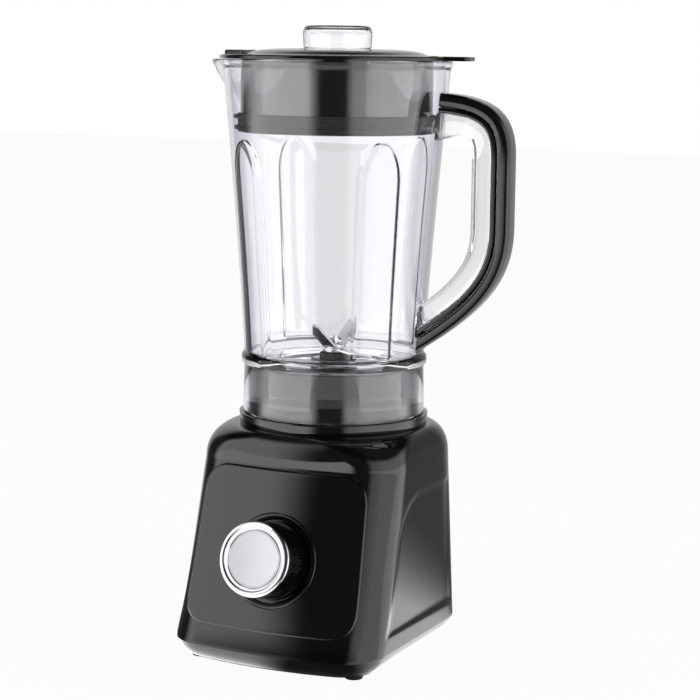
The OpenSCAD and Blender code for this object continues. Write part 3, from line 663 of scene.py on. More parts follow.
@dataclass
class MotorBase:
    """The black housing, front panel, lower skirt, seat ring, knob bezel and feet. Sizes in millimetres."""

    low_w: float = 68.0
    top_w: float = 66.0
    low_front: float = 93.0
    top_front: float = 65.0
    low_back: float = 67.0
    top_back: float = 59.5
    front_round: float = 24.0
    back_round: float = 42.0
    seam_z: float = 12.5
    wall_top: float = 118.0
    deck_z: float = 136.5
    bow: float = 8.0
    flare: float = 6.0
    wall: float = 2.6
    shoulder_r: float = 58.5
    deck_hole: float = 43.5
    knob_z: float = 65.0
    bezel_r: float = 28.5
    panel_proud: float = 1.1
    screw_places: tuple[tuple[float, float], ...] = ((50.0, -44.0), (46.0, 23.5))
    post_places: tuple[tuple[float, float], ...] = ((35.0, 16.5), (35.0, -16.5))
    screw_boss_low: float = 16.5
    post_low: float = 108.2
    boss_top: float = 122.0
    arc_steps: int = 22
    front_steps: int = 44
    side_steps: int = 20

    @property
    def lean(self) -> float:
        """How far the front wall leans back, in radians."""
        return math.atan((self.low_front - self.top_front) / (self.wall_top - self.seam_z))

    def front_at(self, z: float) -> float:
        """How far the front wall stands from the axis at a height."""
        t = (z - self.seam_z) / (self.wall_top - self.seam_z)
        return self.low_front + (self.top_front - self.low_front) * t + self.flare * max(0.0, 1 - t) ** 6

    def knob_frame(self) -> Matrix:
        """The frame on the front wall at the knob: z out of the wall and y up along it."""
        place = Matrix.Rotation(math.pi / 2 - self.lean, 4, "X")
        place.translation = Vector((0, -self.front_at(self.knob_z), self.knob_z)) * MM
        return place

    def outline(self, w: float, f: float, b: float, rf: float, rb: float, bow: float, z: float) -> np.ndarray:
        """One ring of the housing.

        Args:
            w: half width.
            f: reach to the front.
            b: reach to the back.
            rf: corner radius at the front.
            rb: corner radius at the back.
            bow: how far the front bows out.
            z: height.

        Returns:
            The ring's points, always the same number.
        """
        def arc(cx: float, cy: float, r: float, start: float) -> np.ndarray:
            """A quarter circle."""
            a = np.radians(start + np.linspace(0, 90, self.arc_steps + 1))
            return np.column_stack([cx + r * np.cos(a), cy + r * np.sin(a)])

        def run(p: np.ndarray, q: np.ndarray, steps: int) -> np.ndarray:
            """The points between two ends, without the ends."""
            t = np.linspace(0, 1, steps + 1)[1:-1, None]
            return p + (q - p) * t

        corners = [arc(w - rb, b - rb, rb, 0), arc(rb - w, b - rb, rb, 90),
                   arc(rf - w, rf - f, rf, 180), arc(w - rf, rf - f, rf, 270)]
        steps = [self.side_steps, self.side_steps, self.front_steps, self.side_steps]
        parts = []
        for i, corner in enumerate(corners):
            parts.append(corner)
            parts.append(run(corner[-1], corners[(i + 1) % 4][0], steps[i]))
        ring = np.concatenate(parts)
        front = np.minimum(0, ring[:, 1]) / f
        ring[:, 1] -= front * bow * (ring[:, 0] / w) ** 2
        return np.column_stack([ring, np.full(len(ring), z)])

    def wall_ring(self, z: float, inset: float) -> np.ndarray:
        """The side walls' ring at a height.

        Args:
            z: height.
            inset: how far it is moved in.

        Returns:
            The ring's points.
        """
        t = (z - self.seam_z) / (self.wall_top - self.seam_z)
        return self.outline(self.low_w + (self.top_w - self.low_w) * t - inset, self.front_at(z) - inset,
                            self.low_back + (self.top_back - self.low_back) * t - inset,
                            self.front_round - inset, self.back_round - inset, self.bow, z)

    def shoulder_ring(self, u: float, inset: float) -> np.ndarray:
        """The shoulder's ring.

        Args:
            u: 0 at the walls and 1 at the round deck.
            inset: how far it is moved in.

        Returns:
            The ring's points.
        """
        k = 1 - math.cos(math.pi / 2 * u)
        z = self.wall_top + (self.deck_z - inset - self.wall_top) * math.sin(math.pi / 2 * u)
        r = self.shoulder_r
        ends = ((self.top_w, r), (self.top_front, r), (self.top_back, r), (self.front_round, r - 0.5),
                (self.back_round, r - 0.5), (self.bow, 0))
        mix = [a + (c - a) * k for a, c in ends]
        return self.outline(*[v - inset for v in mix[:5]], mix[5], z)

    def side_panels(self, ring: np.ndarray) -> np.ndarray:
        """Sinks the soft panels of the two side walls into a ring.

        Args:
            ring: the ring's points.

        Returns:
            The ring with its sides moved in.
        """
        z = ring[0, 2]
        back, low, high, depth, soft, arch = 34.0, 21.0, 104.0, 1.3, 6.0, 30.0
        wall_share, wall_slope = 0.93, 30.0
        front = -self.front_at(z) + self.front_round + 2
        side = smooth((np.abs(ring[:, 0]) / (self.low_w - 5) - wall_share) * wall_slope)
        y = ring[:, 1]
        dx = np.maximum(front + arch - y, 0)
        dz = max(z - (high - arch), 0)
        corner = arch - np.sqrt(dx ** 2 + dz ** 2)
        inside = np.minimum.reduce([y - front, back - y, np.full(len(y), high - z), np.full(len(y), z - low)])
        inside = np.where((dx > 0) & (dz > 0), np.minimum(inside, corner), inside)
        moved_ring = ring.copy()
        moved_ring[:, 0] -= np.sign(ring[:, 0]) * depth * smooth(inside / soft) * side
        return moved_ring

    def housing(self) -> None:
        """The housing's shell, with a rolled lower edge and a rim round the deck's opening."""
        heights = np.concatenate([np.linspace(self.seam_z + 1.2, 24, 9),
                                  np.linspace(25.5, self.wall_top, 58)])
        rings = [self.wall_ring(self.seam_z, 1.3), self.wall_ring(self.seam_z, 0.5),
                 self.wall_ring(self.seam_z + 0.35, 0.12)]
        rings += [self.side_panels(self.wall_ring(z, 0)) for z in heights]
        rings += [self.shoulder_ring(u, 0) for u in np.linspace(0, 1, 25)[1:]]
        angles = np.arctan2(rings[-1][:, 1], rings[-1][:, 0])
        for r, z in ((self.deck_hole + 0.6, self.deck_z), (self.deck_hole, self.deck_z - 0.6),
                     (self.deck_hole, self.deck_z - self.wall)):
            rings.append(circle(r, angles, z))
        rings += [self.shoulder_ring(u, self.wall) for u in np.linspace(1, 0, 10)]
        rings += [self.wall_ring(z, self.wall) for z in np.linspace(self.wall_top, self.seam_z, 16)[1:]]
        dress(loft("housing_shell", np.array(rings), True, 40), Body.BASE, "black_gloss", "housing")

    def bosses(self) -> None:
        """The screw bosses and motor posts moulded in the housing."""
        bore, outer, top = 2.1, 5.0, self.boss_top
        pieces = []
        for places, low in ((self.screw_places, self.screw_boss_low), (self.post_places, self.post_low)):
            profile = rounded([(bore, low, 0.2), (outer, low, 0.6), (outer, top, 0.2), (bore, top, 0.2)], 3)
            pieces += [lathe("boss", profile, 32, place) for place in mirrored_pairs(places)]
        dress(join("housing_bosses", pieces), Body.BASE, "black_gloss")

    def panel(self) -> None:
        """The front panel: a soft-edged plate that follows the bowed front wall."""
        low_half, top_half, low, top, radius = 57.0, 53.0, 24.5, 117.0, 17.5
        flat, sunk = 5.0, -0.5
        outline = resampled(rounded([(-low_half, low, radius), (low_half, low, radius),
                                     (top_half, top, radius), (-top_half, top, radius)], 16), 220)
        centre = np.array([0.0, self.knob_z])
        spoke = outline - centre
        length = np.linalg.norm(spoke, axis=1, keepdims=True)
        heading = spoke / length
        hole = np.column_stack([heading[:, 0], heading[:, 1] * math.cos(self.lean)])
        hole_r = (self.bezel_r - 0.4) * np.linalg.norm(hole, axis=1, keepdims=True)
        rows = []
        for inset, proud in ((0.1, sunk), (0.0, 0.0), (0.25, 0.5), (0.8, 0.85), (1.7, 1.02),
                             (3.0, self.panel_proud), (flat, self.panel_proud)):
            rows.append((spoke - heading * inset, proud))
        for share in np.linspace(0.1, 1, 16):
            rows.append((spoke - heading * (flat + (length - hole_r - flat) * share), self.panel_proud))
        rows.append((heading * hole_r, sunk))
        for share in np.linspace(0.9, 0.1, 8):
            rows.append((spoke - heading * (flat + (length - hole_r - flat) * share), sunk))
        rings = []
        for plan, proud in rows:
            x = plan[:, 0]
            z = plan[:, 1] + self.knob_z
            half = self.low_w + (self.top_w - self.low_w) * (z - self.seam_z) / (self.wall_top - self.seam_z)
            y = np.array([-self.front_at(h) for h in z]) + self.bow * (x / half) ** 2
            slope = 2 * self.bow * x / half ** 2
            normal = np.column_stack([slope, -np.ones(len(x)), np.full(len(x), math.tan(self.lean))])
            normal /= np.linalg.norm(normal, axis=1, keepdims=True)
            rings.append(np.column_stack([x, y, z]) + normal * proud)
        dress(loft("front_panel_plate", np.array(rings), True, 40), Body.BASE, "black_gloss", "front_panel")

    def skirt(self) -> None:
        """The smooth band of the lower skirt, curling in under the housing."""
        outer = [(self.seam_z - 0.15, 1.1), (10.5, 1.7), (8.0, 3.0), (5.6, 5.0), (3.8, 7.2), (2.75, 9.2),
                 (2.3, 11.0)]
        inner = [(min(z + 0.45, self.seam_z - 0.2), inset + 0.55) for z, inset in reversed(outer)]
        rings = []
        for z, inset in outer + inner:
            ring = self.wall_ring(self.seam_z, inset)
            ring[:, 2] = z
            rings.append(ring)
        dress(loft("lower_skirt", np.array(rings), True, 50), Body.BASE, "black_gloss")

    def seat(self) -> None:
        """The glossy ring that the jar stands on, and the bezel round the knob."""
        dress(refined("jar_seat", 0.3), Body.BASE, "black_gloss", "jar_seat")
        r = self.bezel_r
        profile = rounded([(r - 4.6, -0.6, 0.2), (r - 4.4, 0.5, 0.5), (r - 2.4, 1.5, 0.8),
                           (r - 1.0, 1.75, 0.7), (r, 1.2, 0.7), (r, -1.2, 0.2)], 5)
        dress(lathe("bezel_ring", profile, 160, self.knob_frame()), Body.BASE, "black_gloss")
        dress(refined("knob_bezel", 0.15), Body.BASE, "black_gloss", "knob_bezel")

    def feet(self) -> None:
        """The rubber feet, with a tread ring under each."""
        pieces = []
        for name in ("foot_front_left", "foot_front_right", "foot_back_right", "foot_back_left"):
            low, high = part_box(name)
            centre = (low + high) / 2
            place = Matrix.Translation(Vector((centre.x, centre.y, 0)))
            radius = (high.x - low.x) / 2 / MM
            inner, outer, low_z, high_z = radius - 3.2, radius - 1.2, 0.02, 0.8
            profile = rounded([(inner, low_z, 0.3), (outer, low_z, 0.3), (outer, high_z, 0.1),
                               (inner, high_z, 0.1)], 3)
            pieces.append(lathe("tread", profile, 48, place))
            dress(refined(name, 0.3), Body.BASE, "black_rubber", name)
        dress(join("foot_treads", pieces), Body.BASE, "black_rubber")

    def screws(self) -> None:
        """The cover screws, with a raised cross on each head in place of its recess."""
        pieces = []
        head_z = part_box("cover_screws")[0].z / MM
        for place in mirrored_pairs(self.screw_places):
            bar = block((-2.2, -0.4, head_z - 0.25), (2.2, 0.4, head_z + 0.2), 0.2)
            pieces.append(round_copies("cross", bar, "steel", 2, place))
        dress(join("screw_crosses", pieces), Body.BASE, "steel")
        dress(refined("cover_screws", 0.2), Body.BASE, "steel", "cover_screws")

    def build(self) -> None:
        """Builds every piece of the base."""
        self.housing()
        self.bosses()
        self.panel()
        self.skirt()
        self.seat()
        self.feet()
        self.screws()


def mirrored_pairs(places: tuple[tuple[float, float], ...]) -> list[Matrix]:
    """The frames of places that repeat at the left and the right.

    Args:
        places: x and y of each place at the right, in millimetres.

    Returns:
        Each place's frame, and its mirror image's.
    """
    return [Matrix.Translation(Vector((side * x, y, 0)) * MM) for x, y in places for side in (1, -1)]


def resampled(outline: np.ndarray, count: int) -> np.ndarray:
    """A closed outline with evenly spaced points.

    Args:
        outline: its points.
        count: number of new points.

    Returns:
        The new points.
    """
    closed = np.vstack([outline, outline[:1]])
    along = np.concatenate([[0], np.cumsum(np.linalg.norm(np.diff(closed, axis=0), axis=1))])
    where = np.linspace(0, along[-1], count, endpoint=False)
    return np.column_stack([np.interp(where, along, closed[:, k]) for k in range(closed.shape[1])])


def join(name: str, pieces: list[bpy.types.Object]) -> bpy.types.Object:
    """Several meshes as one object.

    Args:
        name: the joined piece's name.
        pieces: the objects, which are removed.

    Returns:
        The joined object.
    """
    work = bmesh.new()
    for piece in pieces:
        work.from_mesh(piece.data)
        bpy.data.objects.remove(piece)
    mesh = bpy.data.meshes.new(name)
    work.to_mesh(mesh)
    work.free()
    mesh.materials.clear()
    mesh.shade_smooth()
    mesh.set_sharp_from_angle(angle=math.radians(SHARP_DEG))
    return new_object(name, mesh)


# ---------------------------------------------------------------- the knob


@dataclass
class SpeedKnob:
    """The rotary knob: a ribbed black body, a chrome ring with a spiral step and a spun disc."""

    base: MotorBase
    ring_r: float = 22.3
    disc_r: float = 16.8
    reach: float = 25.0

    def spiral_ring(self) -> None:
        """The chrome ring, whose inner edge winds outwards once to a notch."""
        angles = np.linspace(0, 2 * math.pi, 288, endpoint=False)
        notch = math.radians(62)
        around = ((notch - angles) % (2 * math.pi)) / (2 * math.pi)
        inner, outer, top = self.disc_r, self.ring_r, self.reach
        step_r = inner + 0.9 + 2.6 * around
        rows = [(inner + 0.15, top - 2.2), (inner + 0.15, top - 0.8), (inner + 0.5, top - 0.45),
                (step_r - 0.25, top - 0.45), (step_r + 0.15, top - 0.12), (step_r + 0.45, top),
                (outer - 1.2, top - 0.02), (outer - 0.35, top - 0.35), (outer, top - 1.2), (outer, top - 2.6),
                (outer - 0.6, top - 2.8)]
        rings = np.array([circle(r, angles, z) for r, z in rows])
        piece = loft("knob_spiral_ring", moved(rings, self.base.knob_frame()), True)
        dress(piece, Body.KNOB, "chrome", "knob_ring")

    def disc(self) -> None:
        """The spun disc, very slightly dished, with a turned groove near its edge."""
        top = self.reach - 0.55
        profile = [(0.0, top - 0.35), (6.0, top - 0.3), (12.0, top - 0.12), (15.6, top - 0.02),
                   (15.75, top - 0.18), (16.0, top - 0.18), (16.15, top), (self.disc_r - 0.3, top),
                   (self.disc_r, top - 0.3), (self.disc_r, top - 1.4), (0.0, top - 1.4)]
        place = self.base.knob_frame()
        piece = lathe("knob_spun_disc", np.array(profile), 192, place)
        dress(piece, Body.KNOB, "spun_aluminium", "knob_disc", place=place)

    def grip(self) -> None:
        """The knob's body with fine ribs round its side."""
        dress(refined("speed_knob", 0.3), Body.KNOB, "black_gloss", "speed_knob")
        low, high = 3.5, self.reach - 4.5
        radius = self.ring_r - 0.75
        angles = np.linspace(0, 2 * math.pi, 8, endpoint=False)
        rows = ((low, 0.05), (low + 1.2, 0.4), (high - 1.2, 0.4), (high, 0.05))
        rings = np.array([circle(size, angles, z) + np.array([radius, 0, 0]) for z, size in rows])
        ribs = round_copies("knob_ribs", rings, "black_gloss", 60, self.base.knob_frame())
        dress(ribs, Body.KNOB, "black_gloss")

    def build(self) -> None:
        """Builds every piece of the knob."""
        self.grip()
        self.spiral_ring()
        self.disc()


# ---------------------------------------------------------------- the jar


@dataclass
class ClearJar:
    """The clear jar with its flutes, spout and handle, and the black parts it carries."""

    turn: float = 9.0
    foot_r: float = 54.8
    rim_r: float = 68.8
    rim_z: float = 356.0
    floor_z: float = 176.0
    wall: float = 3.0
    well_r: float = 31.0
    spout_reach: float = 79.4
    spout_z: float = 331.0
    flutes: tuple[tuple[float, int], ...] = ((49.0, 1), (131.0, -1), (229.0, 1), (311.0, -1))
    flute_arch: float = 24.0
    flute_half_deg: float = 13.0
    flute_low: float = 181.0
    flute_top: float = 309.0
    flute_rise: float = 2.4
    steps: int = 360
    handle_reach: float = 109.0
    handle_w: float = 21.0
    grip_depth: float = 11.5
    handle_depth: float = 23.0

    def radius(self, z: np.ndarray | float) -> np.ndarray | float:
        """The outer wall's radius at a height."""
        t = np.clip((np.asarray(z, float) - self.floor_z) / (self.rim_z - self.floor_z), 0, 1)
        return self.foot_r + (self.rim_r - self.foot_r) * t ** 1.2

    def flute(self, degrees: np.ndarray, z: float) -> np.ndarray:
        """How far the flutes, each softer at one side, stand out of the wall at a height.

        Args:
            degrees: angles round the jar, from the handle.
            z: height.

        Returns:
            The rise at each angle, in millimetres.
        """
        if not self.flute_low <= z <= self.flute_top:
            return np.zeros(len(degrees))
        radius, degree = float(self.radius(z)), math.radians(1)
        t = (z - self.flute_low) / (self.flute_top - self.flute_low)
        half = (self.flute_half_deg + 0.9 * (1 - t)) * degree * radius
        arch_low = self.flute_top - self.flute_arch
        if z > arch_low:
            half *= math.sqrt(max(0.0, 1 - ((z - arch_low) / self.flute_arch) ** 2))
        ends = min(1.0, (z - self.flute_low) / 1.0 + 0.15)
        rise = np.zeros(len(degrees))
        for middle, soft_side in self.flutes:
            away = (degrees - middle + 180) % 360 - 180
            across = np.abs(away) * degree * radius
            soft = np.where(away * soft_side > 0, 5.6, 3.0)
            chord = across ** 2 / (2 * radius)
            rise += smooth((half - across) / soft) * np.maximum(self.flute_rise - 0.55 * chord, 0) * ends
        return rise

    def spout(self, degrees: np.ndarray, z: float) -> np.ndarray:
        """How far the spout draws the wall out at a height.

        Args:
            degrees: angles round the jar, from the handle.
            z: height.

        Returns:
            The reach at each angle, in millimetres.
        """
        away = np.abs(degrees - 180)
        up = smooth(np.array([(z - self.spout_z) / (self.rim_z - self.spout_z)]))[0]
        half = 6 + 12.5 * up
        shape = np.clip(1 - away / half, 0, 1)
        return (self.spout_reach - self.rim_r) * up ** 0.8 * shape ** 1.15

    def wall_ring(self, out: float, z: float) -> np.ndarray:
        """One ring of the fluted wall.

        Args:
            out: how far it is moved outwards.
            z: height.

        Returns:
            The ring's points.
        """
        degrees = np.arange(self.steps) * 360 / self.steps
        reach = self.radius(z) + out + self.flute(degrees, z) + self.spout(degrees, z)
        return circle(reach, np.radians(degrees), z)

    def body(self) -> None:
        """The jar's closed shell: collar, thick rim band, fluted wall, lip, floor and well."""
        foot, collar, inner, low = self.foot_r, self.foot_r + 0.7, self.foot_r - self.wall, 143.3
        floor, well, under, bore, top = self.floor_z, self.well_r, self.floor_z - 7.0, 10.25, self.rim_z
        outer = [(collar - 0.5, low), (collar, low + 0.5), (foot + 0.15, 172.6), (foot + 0.6, 173.3),
                 (foot + 1.7, 174.0), (foot + 1.9, 175.2), (foot + 1.7, 178.2), (foot + 0.9, 179.2)]
        heights = np.concatenate([np.linspace(180.2, 184, 8), np.linspace(186, 284, 50),
                                  np.linspace(285, 311, 27), np.linspace(313, 329, 9),
                                  np.linspace(331, 351.5, 16)])
        wall = [(0.0, z) for z in heights]
        wall += [(0.55, top - 3.2), (0.75, top - 1.7), (0.45, top - 0.4), (-0.1, top), (-2.2, top),
                 (-self.wall, top - 0.7)]
        wall += [(-self.wall, z) for z in heights[::-1] if z > 181]
        inside = [(inner - 0.1, floor + 4), (inner - 1, floor + 2), (inner - 3, floor + 0.5),
                  (inner - 6.5, floor), (well + 1.5, floor), (well + 0.4, floor - 0.5), (well - 0.4, floor - 3.2),
                  (well - 1.4, floor - 3.95), (bore, floor - 4), (bore, under), (well + 2.6, under),
                  (well + 3, under + 0.4), (well + 3, 173.05), (inner - 0.1, 173.05),
                  (collar - self.wall, low + 0.5), (collar - self.wall + 0.5, low)]
        angles = np.radians(np.arange(self.steps) * 360 / self.steps)
        rings = [circle(r, angles, z) for r, z in outer]
        rings += [self.wall_ring(out, z) for out, z in wall]
        rings += [circle(r, angles, z) for r, z in inside]
        shell = loft("clear_jar", turned(np.array(rings), self.turn), True, 38)
        dress(shell, Body.JAR, "clear_plastic", "jar")

    def handle_path(self) -> tuple[np.ndarray, np.ndarray]:
        """The handle's outer edge and its square-on direction inwards, in radius and height."""
        def bezier(*p: tuple[float, float]) -> np.ndarray:
            """A cubic curve's points."""
            t = np.linspace(0, 1, 41)[:, None]
            a, b, c, d = (np.array(q, float) for q in p)
            return (1 - t) ** 3 * a + 3 * (1 - t) ** 2 * t * b + 3 * (1 - t) * t * t * c + t ** 3 * d

        reach = self.handle_reach
        upper = bezier((self.foot_r, 338), (reach - 17, 338), (reach, 330), (reach, 300))
        lower = bezier((reach, 258), (reach, 226), (reach - 17, 206), (self.foot_r - 5, 180))
        between = np.column_stack([np.full(7, reach), np.linspace(300, 258, 9)[1:-1]])
        path = np.concatenate([upper, between, lower])
        keep = path[:, 0] > self.radius(path[:, 1]) - 4.0
        path = path[keep]
        way = np.gradient(path, axis=0)
        way /= np.linalg.norm(way, axis=1, keepdims=True)
        return path, np.column_stack([way[:, 1], -way[:, 0]])

    def handle_bar(self, name: str, near: float, far: float, gap: float, corner: float,
                   flare: float, width: float) -> bpy.types.Object:
        """One layer of the handle.

        Args:
            name: the piece's name.
            near: depth of its outer face below the handle's edge.
            far: depth of its inner face.
            gap: distance that its ends keep from the jar's wall.
            corner: rounding of its edges.
            flare: how far its inner face spreads at the roots.
            width: its width.

        Returns:
            The object.
        """
        path, inward = self.handle_path()
        along = np.concatenate([[0], np.cumsum(np.linalg.norm(np.diff(path, axis=0), axis=1))])
        from_end = np.minimum(along, along[-1] - along)
        spread = flare * np.exp(-(from_end / 11.0) ** 2)
        rings = []
        for point, into, extra in zip(path, inward, spread):
            half = width / 2 + extra * 0.35
            deep = far + extra
            section = rounded([(near, -half, corner), (deep, -half, corner), (deep, half, corner),
                               (near, half, corner)], 6)
            place = point + section[:, 0:1] * into
            limit = self.radius(place[:, 1]) + gap
            reach = np.sqrt(np.maximum(limit ** 2 - section[:, 1] ** 2, 0))
            rings.append(np.column_stack([np.maximum(place[:, 0], reach), section[:, 1], place[:, 1]]))
        return loft(name, turned(np.array(rings), self.turn), False, 38)

    def handle(self) -> None:
        """The clear handle and its black grip, with a groove along the grip's side."""
        w, depth = self.handle_w, self.grip_depth
        clear = self.handle_bar("clear_handle", depth, self.handle_depth, -0.8, 3.0, 5.0, w)
        dress(clear, Body.JAR, "clear_plastic", "jar_handle")
        grip = self.handle_bar("grip_strip", 0.0, depth - 3.2, 0.15, 2.6, 0.0, w)
        dress(grip, Body.JAR, "black_gloss", "handle_grip")
        liner = self.handle_bar("grip_liner", depth - 2.9, depth - 0.1, 0.15, 0.5, 0.0, w - 0.8)
        dress(liner, Body.JAR, "black_gloss")

    def sleeve(self) -> None:
        """The black sleeve seen through the jar's clear foot."""
        dress(refined("jar_sleeve", 0.2), Body.JAR, "black_gloss", "jar_sleeve")
        outer, low, high = self.foot_r - self.wall - 0.15, 144.2, 172.4
        inner = outer - 2.15
        profile = rounded([(inner, low, 0.2), (outer, low, 0.6), (outer, high, 0.6), (inner, high, 0.2)], 4)
        dress(lathe("sleeve_band", profile, 240), Body.JAR, "black_gloss")

    def hub(self) -> None:
        """The blade unit's fixed parts in the jar's floor."""
        dress(refined("blade_hub", 0.4), Body.JAR, "black_matte", "blade_hub")
        dress(refined("hub_nut", 0.3), Body.JAR, "black_matte", "hub_nut")
        inner, outer, low, high = 9.2, 13.6, 173.3, 175.8
        profile = rounded([(inner, low, 0.2), (outer, low, 0.2), (outer, high, 1.0), (inner, high, 0.2)], 4)
        dress(lathe("hub_collar", profile, 96), Body.JAR, "black_gloss")

    def build(self) -> None:
        """Builds every piece of the jar."""
        self.body()
        self.handle()
        self.sleeve()
        self.hub()


# ---------------------------------------------------------------- blades, lid and cap


@dataclass
class BladeStack:
    """The blades, washers and nut on their shaft."""

    nodes: tuple[str, ...] = ("upper_blades", "lower_blades", "blade_washers", "blade_shaft")

    def build(self) -> None:
        """Builds the stack and the driven coupling from refined copies."""
        for node in self.nodes:
            dress(refined(node, 0.12), Body.BLADES, "blade_steel", node)
        dress(refined("blade_nut", 0.35), Body.BLADES, "blade_steel", "blade_nut")
        dress(refined("blade_coupling", 0.2), Body.BLADES, "black_matte", "blade_coupling")


@dataclass
class DeepLid:
    """The black lid with its skirt, seal and spout cover, and the clear cap in it."""

    turn: float = 9.0
    flange_z: float = 356.3
    flange_t: float = 2.6
    skirt_r: float = 58.0
    skirt_z: float = 313.0
    dome_z: float = 362.9

    def shell(self) -> None:
        """The lid as one turned shell with a rounded flange and a soft dome."""
        z, t, r = self.flange_z, self.flange_t, self.skirt_r
        top, low, bore, collar = self.dome_z, self.skirt_z, 19.85, 350.9
        profile = rounded([
            (bore, collar, 0.3), (22.2, collar, 0.3), (22.2, top - 2.4, 0.5), (34.0, top - 2.5, 2.0),
            (51.0, z + 0.4, 2.0), (r - 4.4, z + 0.2, 0.6), (r - 2.4, z - 1.6, 1.0), (r - 2.4, low, 0.5),
            (r, low, 0.7), (r, z, 0.3), (70.0, z, 0.6), (70.0, z + t, 1.5), (55.5, z + t + 0.05, 2.5),
            (48.5, z + t + 2.6, 5.0), (36.0, top - 0.3, 6.0), (24.6, top - 0.05, 0.8), (24.2, top - 0.5, 0.2),
            (23.2, top - 0.5, 0.2), (22.8, top, 0.3), (bore, top, 0.6)], 6)
        dress(lathe("lid_shell", profile, 288, None, 36), Body.LID, "black_gloss", "lid")

    def tab(self, name: str, corners: list[tuple[float, ...]], low: float, high: float) -> bpy.types.Object:
        """A flat tab with soft edges.

        Args:
            name: the piece's name.
            corners: its outline seen from above.
            low: height of its underside.
            high: height of its top.

        Returns:
            The object.
        """
        outline = resampled(rounded(corners, 8), 96)
        middle = outline.mean(axis=0)
        rings = []
        for z, inset in ((low, 0.5), (low + 0.4, 0.0), (high - 0.9, 0.0), (high - 0.25, 0.35), (high, 0.95)):
            away = outline - middle
            size = np.linalg.norm(away, axis=1, keepdims=True)
            ring = middle + away * (1 - inset / size)
            rings.append(np.column_stack([ring, np.full(len(ring), z)]))
        return loft(name, turned(np.array(rings), self.turn), False, 50)

    def tabs(self) -> None:
        """The thumb tab over the handle, the spout cover and the pointed tab on it."""
        z, top = self.flange_z, self.flange_z + self.flange_t
        pieces = [
            self.tab("thumb", [(66, -13, 1), (83, -10, 3.5), (83, 10, 3.5), (66, 13, 1)], z, top),
            self.tab("spout", [(-62, -20, 1), (-62, 20, 1), (-74.6, 3.2, 3), (-74.6, -3.2, 3)], z, z + 2.0),
            self.tab("point", [(-56, -14, 1), (-56, 14, 1), (-71, 4, 2.5), (-71, -4, 2.5)], z + 2.3, z + 5.2)]
        dress(join("lid_tabs", pieces), Body.LID, "black_gloss")
        rings = block((60.5, -0.3, top - 0.1), (65.5, 0.3, top + 0.35), 0.25)
        ticks = round_copies("lid_ticks", rings, "black_gloss", 3)
        dress(ticks, Body.LID, "black_gloss")

    def seal(self) -> None:
        """The rubber seal with its two lips."""
        dress(refined("lid_seal", 0.2), Body.LID, "black_rubber", "lid_seal")

    def cap(self) -> None:
        """The clear measuring cap, closed at its top, with a rounded shoulder."""
        top = 376.4
        profile = rounded([(17.6, 346.9, 0.5), (19.45, 346.9, 0.5), (19.45, 363.1, 0.3), (20.4, 363.25, 0.4),
                           (20.95, 372.8, 1.0), (19.4, top, 3.2), (0.35, top, 0.0), (0.35, top - 3, 0.0),
                           (17.3, top - 3, 2.2), (17.6, 366.0, 1.0)], 8)
        inner = profile[:, 0] < 0.36
        profile[inner, 0] = 0.0
        dress(lathe("clear_cap", profile, 192), Body.CAP, "clear_plastic", "measuring_cap")

    def build(self) -> None:
        """Builds every piece of the lid and the cap."""
        self.shell()
        self.tabs()
        self.seal()
        self.cap()


# ---------------------------------------------------------------- the motor


@dataclass
class Motor:
    """The motor's finer detail: wound wire and refined castings."""

    wire_r: float = 0.45
    wire_loops: int = 24
    wire_points: int = 480
    fine_nodes: dict[str, Body] = field(default_factory=lambda: {
        "upper_bracket": Body.BASE, "lower_bracket": Body.BASE, "upper_bearing": Body.BASE,
        "lower_bearing": Body.BASE, "brush_holders": Body.BASE, "motor_screws": Body.BASE,
        "seat_screws": Body.BASE, "switch_nut": Body.BASE, "drive_coupling": Body.ROTOR,
        "cord_inlet": Body.BASE, "terminal_block": Body.BASE, "motor_isolators": Body.BASE,
        "speed_switch": Body.BASE})

    def windings(self) -> None:
        """The turns of wire that show on the armature's two ends."""
        low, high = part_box("armature_winding")
        radius = (high.x - low.x) / 2 / MM
        pieces = []
        for z, side in ((high.z / MM, 1), (low.z / MM, -1)):
            angle = np.linspace(0, 1, self.wire_points) * 2 * math.pi
            wave = angle * self.wire_loops
            points = circle(radius - 4.0 + 2.6 * np.sin(wave), angle, z + side * (0.15 + 0.25 * np.cos(wave)))
            mesh = bpy.data.meshes.new("wire_line")
            count = len(points)
            mesh.from_pydata((points * MM).tolist(), [(i, (i + 1) % count) for i in range(count)], [])
            line = new_object("wire_line", mesh)
            NodeTrees.run(line, NodeTrees.wire(), "copper", Radius=self.wire_r * MM, Sides=6)
            pieces.append(line)
        dress(join("armature_wires", pieces), Body.ROTOR, "copper")

    def build(self) -> None:
        """Builds the motor's finer pieces and refines its castings."""
        self.windings()
        slots = {row["node"]: row["material_slot"] for row in frame["record"]["subparts"]}
        for node, body in self.fine_nodes.items():
            dress(refined(node, 0.15), body, slots[node], node)


# ---------------------------------------------------------------- studio


